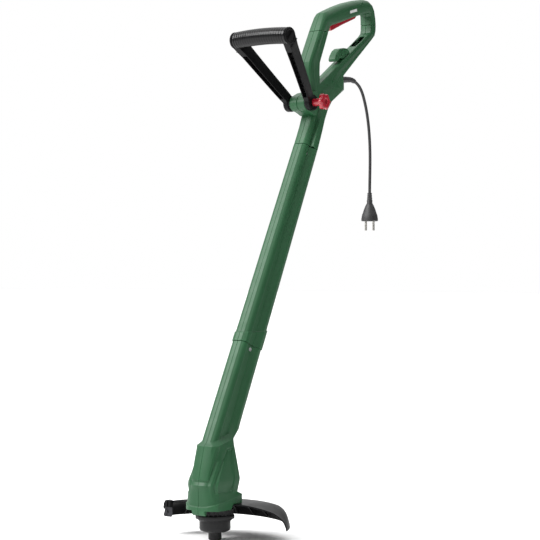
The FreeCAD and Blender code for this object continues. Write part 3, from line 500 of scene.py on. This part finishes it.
def on_profile(values):
    """Spreads values over the columns of a section: each (last column, value), in order."""
    made = []
    for last, value in values:
        made += [value] * (last + 1 - len(made))
    return made


def make_housing(side, word):
    """A shell of the motor housing, from the skirt over the head to the lower seam, with teeth and lug."""
    rim = block_row(0, -48.8, 39, 33.5, (24, -47.5), (37.4, -37.5))
    foot = [Vector((p.x, p.y, z)) for p, z in zip(rim, on_profile([(10, 59), (18, 68.3)]))]
    crest_heights = [65, 65, 65.3, 65.8, 67, 69, 71, 72, 73.2, 75, 77, 79, 82, 84.5, 85, 85, 85, 85, 85]
    crest = [Vector((p.x, p.y, z)) for p, z in zip(rim, crest_heights)]
    base = block_row(0, -47, 37.9, 31.5, (22, -46), (36, -35.8))
    ledge = [Vector((p.x, p.y, z + 1.5)) for p, z in zip(base, crest_heights)]
    shoulder = [(0, -29.4), (9.4, -29.4), (17.7, -27.9), (22.9, -23.1), (26, -17), (26.3, -13), (26.6, -10),
                (26.7, -8.5), (26.8, -7), (26.8, -6), (27, 10), (27, 11), (27, 12), (27, 17), (27, 18.2),
                (26.6, 20.4), (25.6, 22.4), (24, 23.2), (0, 23.6)]
    edge = [Vector((x, y, 175.8 + 0.27 * max(0, y + 17))) for x, y in shoulder]
    rows = [foot, crest, ledge,
            block_row(90, -47, 36.6, 23.2, (20.5, -45), (30.6, -38.6)),
            block_row(100, -47.4, 37, 25.6, (20, -44), (28.6, -40)),
            block_row(104.4, -49, 37.4, 26.8, (19.5, -44.6), (29, -40.4)),
            block_row(110.6, -45.6, 37.6, 28.4, (19.6, -41.6), (30, -38.4)),
            block_row(113, -45.4, 37.4, 29.4, (20.6, -41.4), (30.4, -37.4)),
            block_row(118, -44.6, 37, 29, (21.2, -40), (30.8, -35)),
            block_row(148, -37, 32.8, 26, (24, -27.4), (29.6, -16)),
            block_row(168, -31.4, 28.8, 23.8, (25.7, -17.6), (28.1, -1), 0.1),
            edge]
    # the shaft's foot ends on a slope close to the shoulder's
    rows.append([in_shaft(x, across, -22.2 + 0.964 * across) for x, across in shaft_profile(FOOT_HALF)])
    for along in (12, 48, 86, 122, LOW_SEAM - 0.15):
        rows.append(shaft_row(along))
    panels = [((7, 11), (0, 4), 1.3, 1.1), ((3, 10), (6, 12), 2.0, -1.6)]
    shell("motor_casing_" + word, rows, "green_plastic", "motor_housing_" + word, side, panels=panels,
          bevel=0.6)
    details = Shape()
    teeth = 9
    for tooth in range(teeth):
        share = tooth / (teeth - 1)
        y = 20.6 - 20.5 * share ** 1.3
        z = 121 - 28 * share
        inner = 34.6 + 2.4 * share ** 0.5
        outer = 36.4 + 1.5 * share ** 0.5
        details.box((inner, y - 1.8, z - 0.7), (outer, y + 1.4, z + 0.7))
    details.prism([(3, 166.5), (13, 169), (13.4, 166.6), (3.6, 164.2)], 26, 28.9)
    finished("vent_teeth_" + word, details, "green_plastic", "frame", bevel=0.3, mirror=side < 0)
    lug = Shape()
    lug.prism([(-48.5, 60), (-47.6, 52.5), (-45.5, 50), (-42, 50), (-41, 60)], GAP, 15)
    finished("front_lug_" + word, lug, "green_plastic", "frame", bevel=0.8, mirror=side < 0)


# ---------------------------------------------------------------- D-handle
# the loop, from the foot of the front bar over the grip and down the rear bar: outer point, inner point,
# and the half widths outside and inside
FRONT_BAR = [((275, 864), (309, 860), 15.5, 11.5), ((270.5, 883), (306.6, 884), 15.5, 13),
             ((271.5, 900), (307.6, 901), 15.5, 13), ((287, 931), (321, 930.5), 15.5, 13),
             ((303.4, 962.7), (335.3, 962.7), 15.5, 13)]
GRIP_BAR = [((303.7, 963.3), (335.6, 963.3), 15.8, 13.2), ((312, 980), (339, 969.5), 16, 13.4),
            ((318.5, 993), (343, 975), 16.2, 13.8), ((323.5, 1000.5), (348, 977.2), 16.4, 14.4),
            ((336, 1006.3), (354, 978.8), 16.5, 15), ((366, 1018), (374, 985.2), 16.5, 15.4),
            ((396, 1028), (402, 994.6), 16.5, 15.4), ((431, 1037), (432, 1004.4), 16.5, 15.4),
            ((459, 1042.3), (456, 1011), 16.5, 15.2), ((473, 1041.6), (469, 1014.6), 16.5, 15),
            ((483, 1036), (477.5, 1014.5), 16.3, 14.6), ((490, 1025), (480, 1010), 16.1, 14.2),
            ((494.5, 1008), (480, 1000), 15.9, 13.9), ((495.6, 993.3), (480, 993.3), 15.7, 13.8)]
REAR_BAR = [((495.6, 992.7), (480, 992.7), 15.5, 13.5), ((494.6, 981), (480, 983), 15.5, 13.5),
            ((491, 971), (478.5, 976.5), 15.5, 13.4), ((479, 960), (468, 968.2), 15.5, 11.8),
            ((437.6, 925), (434, 945.3), 15.5, 11.5), ((410, 901.6), (399, 921.4), 15.5, 11.5),
            ((384, 879.8), (366, 898.8), 15.5, 11.5), ((387.8, 866), (330, 874.2), 15.5, 11.5),
            ((388, 853), (309, 860), 15.5, 11.5)]
# the neck below the loop: front point, back point, how much of the shaft's section it has taken up
NECK = [((279, 851), (366, 839.6), 0.0), ((284, 840), (345, 826.4), 0.05), ((284.5, 820), (331, 810), 0.15),
        ((281, 798), (317, 788.4), 0.35), ((270, 772), (303.5, 764), 0.7),
        ((254.4, 740.3), (283.5, 726.2), 1.0)]


def bar_row(station, edge):
    """Half a bar's section, outside to inside: rounded front, wide flange, step at edge, narrower inside."""
    (oy, oz), (iy, iz), wide, narrow = station
    profile = [(0, 0), (6, 0.0), (11.8, 0.004), (12.7, 0.02), (wide - 0.2, 0.12), (wide, 0.15), (wide, edge),
               (narrow, edge + 0.2), (narrow, 0.93), (narrow - 1, 0.985), (0, 1)]
    return [Vector((x, oy + (iy - oy) * t, oz + (iz - oz) * t)) for x, t in profile]


def grip_row(station, round_share):
    """Half the grip's section, rounder than the bars'."""
    (oy, oz), (iy, iz), wide, narrow = station
    soft = [(0, 0), (5, 0.008), (9, 0.04), (12, 0.1), (14.6, 0.19), (16.1, 0.31), (wide, 0.5),
            (wide - 0.4, 0.68), (narrow, 0.86), (narrow - 2.4, 0.965), (0, 1)]
    hard = [(0, 0), (6, 0.0), (11.8, 0.004), (12.7, 0.02), (15.3, 0.12), (15.5, 0.15), (wide - 0.3, 0.34),
            (narrow, 0.54), (narrow, 0.93), (narrow - 1, 0.985), (0, 1)]
    made = []
    for (xs, ts), (xh, th) in zip(soft, hard):
        x = xh + (xs - xh) * round_share
        t = th + (ts - th) * round_share
        made.append(Vector((x, oy + (iy - oy) * t, oz + (iz - oz) * t)))
    return made


def neck_row(front, back, share):
    """Half a section of the neck, from the loop's (share 0) to the shaft's (share 1)."""
    spine = 15.5 + 9.5 * max(0.0, (share - 0.12) / 0.88) ** 0.8
    loop = [(0, 0), (6, 0), (11.8, 0.002), (12.7, 0.008), (15.3, 0.04), (15.5, 0.05), (15.5, 0.14),
            (11.5, 0.2), (11.5, 0.30), (11.5, 0.42), (15.5, 0.54), (15.5, 0.94), (15.2, 0.96), (12.7, 0.99),
            (11.8, 1), (6, 1), (0, 1)]
    tube = [(0, 0), (8, 0), (11.6, 0.045), (14.6, 0.12), (16.5, 0.22), (17, 0.3), (17, 0.36), (16, 0.38),
            (16, 0.41), (16, 0.425), (17.2, 0.46), (spine, 0.70), (spine, 0.9), (spine - 0.8, 0.97),
            (spine - 3, 1), (6, 1), (0, 1)]
    spine_first, spine_last, eased = 10, 12, 0.3
    made = []
    for number, ((xl, tl), (xt, tt)) in enumerate(zip(loop, tube)):
        x = xl + (xt - xl) * share
        t = tl + (tt - tl) * share
        if spine_first <= number <= spine_last:
            x = spine
        if number == spine_last and share < 0.5:
            x -= eased
        made.append(Vector((x, front[0] + (back[0] - front[0]) * t, front[1] + (back[1] - front[1]) * t)))
    return made


def make_handle(side, word):
    """The front bar, the rear bar with the slotted lower arm, and the neck, as one piece with a wall."""
    shape = Shape()
    front = [bar_row(s, 0.32) for s in FRONT_BAR]
    rear = [bar_row(s, 0.3 + 0.16 * n / (len(REAR_BAR) - 1)) for n, s in enumerate(REAR_BAR)]
    shape.skin(front)
    shape.skin(rear)
    top = front[0][:9] + rear[-1][7::-1]
    shape.skin([top] + [neck_row(*ring) for ring in NECK])
    for point in shape.points:
        point.x = max(point.x, GAP)
    made = finished("handle_casing_" + word, shape, "green_plastic", "frame", ["handle_shell_" + word],
                    bevel=0.7, angle=SHARP, wall=2.2, mirror=side < 0)
    cut(made, cord_slot(), "slot_tool_" + word, mirror=side < 0)
    orient_outward(made, side)
    return made


def cord_slot():
    """The slot through the lower arm, along its rise, where a bight of the extension cord passes."""
    middle_y, middle_z, rise = 452, 957, math.radians(34.4)
    half_long, below, above, half_wide = 21, -25, 20, 6
    corners = [(-half_long, below), (half_long, below), (half_long, above), (-half_long, above)]
    turned = [(middle_y + along * math.cos(rise) - across * math.sin(rise),
               middle_z + along * math.sin(rise) + across * math.cos(rise)) for along, across in corners]
    shape = Shape()
    shape.prism(turned, -1, half_wide)
    return shape


def orient_outward(made, side):
    """Turns the faces of an open half skin so that its side faces away from the middle."""
    work = bmesh.new()
    work.from_mesh(made.data)
    total = sum(f.normal.x * f.calc_area() for f in work.faces if abs(f.calc_center_median().x) > 0.011)
    if total * side < 0:
        bmesh.ops.reverse_faces(work, faces=work.faces)
    work.to_mesh(made.data)
    work.free()


def make_hub(side, word):
    """The cross hub that the front handle is clamped to, faired into the neck."""
    y, z, radius = 262, 818, 15.5
    arc = [(y + radius * math.cos(a), z + radius * math.sin(a))
           for a in (math.radians(110 + 160 * k / 20) for k in range(21))]
    outline = arc + [(268, 801), (283, 795), (290, 800), (290, 843), (271, 839)]
    shape = Shape()
    shape.prism(outline, GAP, 18)
    shape.turned([(9.5, 17.5), (9.5, 18.6), (8.8, 19.1), (6.2, 19.1), (5.6, 18.4), (0.01, 18.4)], steps=40,
                 shift=(0, 260, 818), axis="X")
    return finished("hub_" + word, shape, "green_plastic", "frame", bevel=1.4, angle=30, mirror=side < 0,
                    segments=3)


def make_grip(side, word):
    """A shell of the rear grip, with half of the trigger's mouth cut out below."""
    shape = Shape()
    last = len(GRIP_BAR) - 1
    shape.skin([grip_row(s, min(1, n / 3, (last - n) / 3)) for n, s in enumerate(GRIP_BAR)])
    for point in shape.points:
        point.x = max(point.x, GAP)
    made = finished("grip_casing_" + word, shape, "green_plastic", "frame", ["grip_shell_" + word],
                    bevel=0.5, angle=SHARP, wall=2.2, mirror=side < 0)
    orient_outward(made, side)
    mouth = Shape()
    mouth.prism([(345.5, 962), (436, 992), (446, 1000), (446, 1016), (345.5, 986)], -0.5, 7.1)
    cut(made, mouth, "mouth", mirror=side < 0)
    return made


for SIDE, WORD in ((1, "left"), (-1, "right")):
    make_shaft(SIDE, WORD)
    make_housing(SIDE, WORD)
    make_handle(SIDE, WORD)
    make_hub(SIDE, WORD)
    make_grip(SIDE, WORD)


def make_trigger():
    """The long red lever under the grip, crowned across and rounded at its nose."""
    shape = Shape()
    shape.prism([(349.5, 971.5), (353.5, 967.8), (392, 984.4), (434, 1000.6), (442, 1009), (442, 1016.5),
                 (434, 1018.8), (348, 983), (347, 976)], -6.4, 6.4)
    return finished("trigger_lever", shape, "red_plastic", "trigger", ["trigger"], bevel=1.6, angle=30,
                    segments=4)


make_trigger()


# ---------------------------------------------------------------- front handle
PIVOT = Vector((0, 260, 818))
RISE = math.radians(46.5)
REACH = 166.2
TILTED = Matrix.Translation(PIVOT) @ Matrix.Rotation(RISE, 4, "X")


def arm_row(level, inner, outer, depth, channel):
    """One closed section of an arm; channel is how deep the hollow in its front-lower face goes."""
    front, back = -depth, depth
    wall = 2.0
    return [(outer, front, level), (outer + 0.5, front + 4, level), (outer + 0.5, back - 4, level),
            (outer, back, level), (inner, back, level), (inner - 0.5, back - 4, level),
            (inner - 0.5, front + 4, level), (inner, front, level), (inner + wall, front, level),
            (inner + wall, front + channel, level), (outer - wall, front + channel, level),
            (outer - wall, front, level)]


def make_arms():
    """Both arms with their bosses, hollow fronts with cross webs, and round ends that hold the grip."""
    shape = Shape()
    levels = [(3, 20.4, 31.8, 9.5, 0.02), (14, 20.4, 32.2, 9.8, 0.02), (22, 22, 34.8, 10.2, 0.02),
              (22.6, 22.2, 35, 10.2, 8.5), (50, 28.5, 41.8, 10.6, 8.5), (80, 35.2, 48.8, 11, 8.5),
              (110, 41.6, 55.8, 11.4, 8.5), (134, 46.6, 61.2, 11.8, 8.5), (134.6, 46.7, 61.4, 11.8, 0.02),
              (144, 49, 63.8, 12.6, 0.02), (154, 51.6, 66.2, 13.4, 0.02), (REACH, 53.6, 67.6, 13.8, 0.02)]
    for side in (1, -1):
        rows = [[(side * x, y, z) for x, y, z in arm_row(*level)] for level in levels]
        shape.skin(rows, closed=True, caps=True)
        for web in range(9):
            z = 32 + 11.6 * web
            inner = 22.2 + (z - 22.6) * 0.2197
            outer = 35 + (z - 22.6) * 0.2365
            low, high = sorted((side * (inner + 1), side * (outer - 1)))
            shape.box((low, -6.4, z - 0.5), (high, -2, z + 0.5))
        boss = [(8.6, 20.2), (14.4, 20.2), (15.5, 21.2), (15.5, 30.8), (14.4, 31.9), (11.4, 31.9),
                (10.8, 31.2), (8.6, 31.2)]
        tip = [(12.5, 62.8), (15.9, 62.8), (16, 63.4), (16, 66.2), (15, 67.8), (11.6, 67.9),
               (10.6, 67.2), (9.8, 65.6), (0.01, 65.6)]
        shape.turned([(radius, side * level) for radius, level in boss], axis="X", steps=56)
        shape.turned([(0.01, side * 62.8)] + [(radius, side * level) for radius, level in tip], axis="X",
                     steps=56, shift=(0, 0, REACH))
        low, high = sorted((side * 65.2, side * 67.5))
        shape.box((low, -9, REACH - 1), (high, 9, REACH + 1))
        low, high = sorted((side * 62.8, side * 66.6))
        shape.box((low, -13.4, REACH - 19), (high, 13.4, REACH - 17.6))
    return finished("front_handle_arms", shape, "black_plastic", "aux_handle", ["aux_handle"], bevel=0.8,
                    angle=35, move=TILTED, segments=3)


def make_front_grip():
    """The cross grip: gently arched, with rounded ribs all round it."""
    shape = Shape()
    ribs, half = 22, 62.9
    rows = []
    for rib in range(ribs):
        for part, ridge in ((0.0, 14.9), (0.28, 14.9), (0.34, 15.6), (0.5, 15.9), (0.78, 15.9), (0.94, 15.6)):
            x = -half + 2 * half * (rib + part) / ribs
            lift = 3.6 * (1 - (x / half) ** 2)
            rows.append([(x, ridge * math.cos(a), REACH + lift + ridge * math.sin(a))
                         for a in (2 * math.pi * k / 56 for k in range(56))])
    rows.append([(half, y, z - lift) for x, y, z in rows[-1]])
    shape.skin(rows, closed=True, caps=True)
    return finished("front_grip_sleeve", shape, "gloss_black_plastic", "aux_handle", ["aux_grip"],
                    bevel=0.12, angle=25, move=TILTED, segments=1)


def lobes(angle, level, radius):
    """Flutes on the stem, and six lobes that deepen towards the knob's rim."""
    if radius < 8:
        return 1 + 0.04 * math.cos(8 * angle) * (33.2 < level < 50)
    return 1 + 0.085 * math.cos(6 * angle) * min(1.0, max(0.0, (radius - 11) / 3))


def make_knob():
    """The six-lobed clamp knob with a fluted stem and a sunk eye."""
    shape = Shape()
    shape.turned([(0.01, 32.4), (7, 32.4), (7.4, 33), (7.4, 49), (8, 50.4), (10.5, 51.2), (13, 51.9),
                  (14.3, 52.6), (14.9, 53.6), (15.1, 55), (15.1, 58), (14.9, 59.4), (14.2, 60.4), (13, 61),
                  (11.5, 61.2), (5.8, 61.2), (5.2, 61), (4.9, 60.4), (4.8, 58), (0.01, 58)],
                 steps=120, swell=lobes, axis="X")
    return finished("clamp_knob_lobed", shape, "red_plastic", "clamp_knob", ["clamp_knob"], bevel=0.2,
                    angle=28, move=Matrix.Translation(PIVOT))


make_arms()
make_front_grip()
make_knob()


# ---------------------------------------------------------------- line head
def ribbed(angle, level, radius):
    """The gaps between the vent ring's upright teeth."""
    return 1 - 0.045 * (math.cos(26 * angle) < 0.55) * (49 < level < 57.5)


def fluted(angle, level, radius):
    """The fine notches round the spool's flange."""
    return 1 - 0.012 * (math.cos(18 * angle) > 0.93) * (radius > 30)


def make_head():
    """The vent ring, the spool's flange and the bump button."""
    ring = Shape()
    ring.turned([(31, 48.3), (34, 48.3), (34, 50), (34, 56.5), (34, 58.6), (31, 58.6), (31, 48.3)], steps=208,
                swell=ribbed)
    finished("vent_crown", ring, "head_plastic", "frame", ["vent_ring"], bevel=0.2, angle=40)
    base = Shape()
    base.turned([(9, 47.6), (34.6, 47.6), (35.6, 47), (35.9, 46), (35.9, 41.6), (35.4, 40.7), (33.4, 40.7),
                 (33.4, 43), (9, 43)], steps=144, swell=fluted)
    finished("spool_flange", base, "head_plastic", "cutting_head", ["spool_base"], bevel=0.3, angle=40)
    button = Shape()
    button.turned([(0.01, 0), (7.4, 0), (8.3, 0.5), (8.9, 1.5), (10.8, 1.7), (11.8, 2.4), (12.2, 3.6),
                   (12.2, 19.8), (15.2, 19.8), (15.2, 20.5), (9.7, 20.5), (9.7, 4.3), (0.01, 4.3)], steps=80)
    finished("bump_foot", button, "head_plastic", "bump_button", ["bump_button"], bevel=0.3, angle=40)


make_head()


# ---------------------------------------------------------------- guard
def guard_profile(share):
    """(radius, height) down the dome, which is fuller and has a shorter skirt away from the near end."""
    low = 22.2 + 10 * min(1.0, share * 1.5) ** 0.8
    near = [(24, 67.9), (40, 67.9), (52, 67.8), (62, 66.7), (72, 65.2), (80, 63.4), (88, 61.6), (95, 59.8),
            (101, 58), (107, 56), (112, 54), (117, 51), (121, 48.4), (125, 45.2), (129, 41.4), (132.4, 37.4)]
    full = [67.9, 67.9, 67.8, 67.6, 67.2, 66.8, 66.3, 65.7, 65, 64.1, 63, 61.5, 60, 57.6, 54, 49]
    blend = min(1.0, share / 0.22)
    blend = blend * blend * (3 - 2 * blend)
    dome = [(radius, level + (high - level) * blend) for (radius, level), high in zip(near, full)]
    drop = dome[-1][1] - low
    return dome + [(134.8, low + 0.66 * drop), (136.8, low + 0.3 * drop), (137.6, low)]


def make_guard():
    """The guard: a dome with a skirt and a wall, thin ribs inside the skirt, the blade and its holder."""
    shape = Shape()
    slope = math.atan2(46, 88)
    offset = 14.06
    last = math.radians(174.2)
    rows = []
    steps = 46
    for step in range(steps + 1):
        share = step / steps
        row = []
        for radius, level in guard_profile(share):
            first = slope + math.asin(max(-0.98, -offset / radius))
            angle = first + (last - first) * share
            row.append((radius * math.cos(angle), radius * math.sin(angle), level))
        rows.append(row)
    shape.skin(rows)
    made = finished("guard_dome", shape, "black_plastic", "frame", ["guard"], bevel=0.5, angle=40, wall=2.6)
    work = bmesh.new()
    work.from_mesh(made.data)
    if sum(f.normal.z * f.calc_area() for f in work.faces) < 0:
        bmesh.ops.reverse_faces(work, faces=work.faces)
    work.to_mesh(made.data)
    work.free()
    ribs = Shape()
    for number in range(9):
        angle = math.radians(36 + 15 * number)
        outward = Vector((math.cos(angle), math.sin(angle), 0))
        across = Vector((-math.sin(angle), math.cos(angle), 0)) * 0.8
        rows = []
        for radius, level in ((133.2, 34), (129, 38.6), (120.6, 46), (111, 51.5)):
            outer = outward * radius
            inner = outward * (radius - 3)
            rows.append([outer + across + Vector((0, 0, level)), inner + across + Vector((0, 0, level - 2)),
                         inner - across + Vector((0, 0, level - 2)), outer - across + Vector((0, 0, level))])
        ribs.skin(rows, closed=True, caps=True)
    finished("guard_ribs", ribs, "black_plastic", "frame", bevel=0.3)
    holder = Shape()
    outline = ((-131, 49), (-129.6, 58), (-126, 63.5), (-119, 64.5), (-113, 63), (-113, 36), (-119, 33),
               (-122, 36), (-130.6, 36), (-128, 42), (-127.4, 46.5))
    holder.skin([[(x, y, z) for x, z in outline] for y in (5.4, 13.6)], closed=True, caps=True)
    holder.box((-121.6, 3.6, 35), (-119.6, 6, 63))
    finished("cutter_holder", holder, "black_plastic", "frame", bevel=0.7, angle=30)
    blade = Shape()
    outline = ((-124.8, 50.8), (-107.2, 50.8), (-107.2, 36), (-110, 33.2), (-124.8, 33.2))
    blade.skin([[(x, y, z) for x, z in outline] for y in (4, 5.2)], closed=True, caps=True)
    finished("trim_blade", blade, "bright_steel", "frame", ["line_cutter"], bevel=0.25, paint=BLADE)


make_guard()


# ---------------------------------------------------------------- hook and plate
def make_hook():
    """The cord hook: a rounded horn with a rib on each side, rising from the lower arm."""
    shape = Shape()
    horn = [(362.2, 913.4), (363, 909.6), (366, 908), (371, 909), (375, 912.6), (379, 915.6), (384, 916.4),
            (389, 915.6), (394.4, 917.4), (403, 924.6), (413, 928), (411, 933), (404.5, 937.6), (393, 937.6),
            (381.4, 935.6), (373, 930.4), (366, 921.4)]
    shape.prism(horn, -8.4, 8.4)
    shape.prism([(365, 914), (367.5, 911), (371, 912), (379, 918), (385, 919), (385, 921.5), (377.8, 921.5),
                 (373.4, 929), (367.6, 921)], -9.8, 9.8)
    shape.prism([(381.4, 935.2), (386.6, 918), (389.6, 918), (385.4, 936)], -9.8, 9.8)
    shape.prism([(395.4, 937), (398, 921.6), (401, 923.4), (399.4, 937.2)], -9.8, 9.8)
    return finished("cord_hook", shape, "green_plastic", "frame", ["cable_hook"], bevel=1.3, angle=30,
                    segments=4)


def make_plate():
    """A blank plate on the grip's near side, and small rings round three screw places of the casings."""
    shape = Shape()
    shape.skin([[(x, y, z) for y, z in ((403, 1006.6), (426.4, 1013.6), (425, 1018.8), (401.6, 1011.8))]
                for x in (15.9, 16.75)], closed=True, caps=True)
    finished("blank_plate", shape, "grey_plastic", "frame", bevel=0.3, paint=PLATE)
    screws = Shape()
    for x, y, z in ((16, 446, 1031), (15.7, 322, 978), (13, 352, 866)):
        screw_well(screws, (x, y, z), radius=2.6, depth=0.9)
    finished("casing_rings", screws, "green_plastic", "frame", bevel=0.15)


make_hook()
make_plate()


# ---------------------------------------------------------------- carried-over CAD nodes, floor and light
def paint_frame():
    """Every CAD node takes the material of its slot, or the one that PAINTED names."""
    for part in frame["record"]["subparts"]:
        made = frame["nodes"][part["node"]]
        made.data.materials.clear()
        made.data.materials.append(PAINTED.get(part["node"], MATERIALS[part["material_slot"]]))


def make_floor():
    """A plain pale floor, half a millimetre below the part."""
    data = bpy.data.meshes.new("floor")
    half = 30.0
    corners = [(-half, -half, 0), (half, -half, 0), (half, half, 0), (-half, half, 0)]
    data.from_pydata(corners, [], [(0, 1, 2, 3)])
    floor = bpy.data.objects.new("floor", data)
    floor.location.z = -0.0005
    bpy.context.scene.collection.objects.link(floor)
    paint = material("floor_paper", (0.92, 0.92, 0.92), rough=0.7, grain=300, bump=0.02, cloud=1, spread=0.01,
                     wear=1, specular=0.1)
    data.materials.append(paint)


def area_light(name, place, target, size, power):
    """A rectangular light at a place, turned to its target."""
    data = bpy.data.lights.new(name, "AREA")
    data.shape = "RECTANGLE"
    data.size, data.size_y = size
    data.energy = power
    light = bpy.data.objects.new(name, data)
    light.location = place
    light.rotation_mode = "QUATERNION"
    light.rotation_quaternion = (Vector(target) - Vector(place)).to_track_quat("-Z", "Y")
    bpy.context.scene.collection.objects.link(light)


def make_light():
    """A dim room with one white wall, darker towards +X, under a soft key and a wide overhead light."""
    area_light("key", (-1.5, -2.0, 2.6), (0, 0.2, 0.6), (1.2, 1.8), 130)
    data = bpy.data.lights.new("overhead", "SUN")
    data.energy = 3.0
    data.angle = math.radians(120)
    bpy.context.scene.collection.objects.link(bpy.data.objects.new("overhead", data))
    world = bpy.data.worlds.new("studio")
    world.use_nodes = True
    tree = world.node_tree
    link = tree.links.new
    direction = node(tree, "ShaderNodeTexCoord").outputs["Generated"]
    split = node(tree, "ShaderNodeSeparateXYZ")
    link(direction, split.inputs["Vector"])
    shift = node(tree, "ShaderNodeMapRange", {"From Min": -1, "From Max": 1})
    link(split.outputs["X"], shift.inputs["Value"])
    fade = ramp(tree, [(0.3, (0.66, 0.66, 0.66)), (0.52, (0.34, 0.34, 0.34)), (0.8, (0.05, 0.05, 0.05))])
    link(shift.outputs["Result"], fade.inputs["Fac"])
    towards = node(tree, "ShaderNodeVectorMath", operation="DOT_PRODUCT")
    towards.inputs[1].default_value = (-0.616, 0.788, 0)
    link(direction, towards.inputs[0])
    wall = node(tree, "ShaderNodeMapRange", {"From Min": 0.8, "From Max": 0.94})
    link(towards.outputs["Value"], wall.inputs["Value"])
    mix = node(tree, "ShaderNodeMix", data_type="RGBA")
    mix.inputs["B"].default_value = (1, 1, 1, 1)
    link(wall.outputs["Result"], mix.inputs["Factor"])
    link(fade.outputs["Color"], mix.inputs["A"])
    link(mix.outputs["Result"], tree.nodes["Background"].inputs["Color"])
    bpy.context.scene.world = world
    bpy.context.scene.view_settings.view_transform = "Standard"


paint_frame()
make_floor()
make_light()
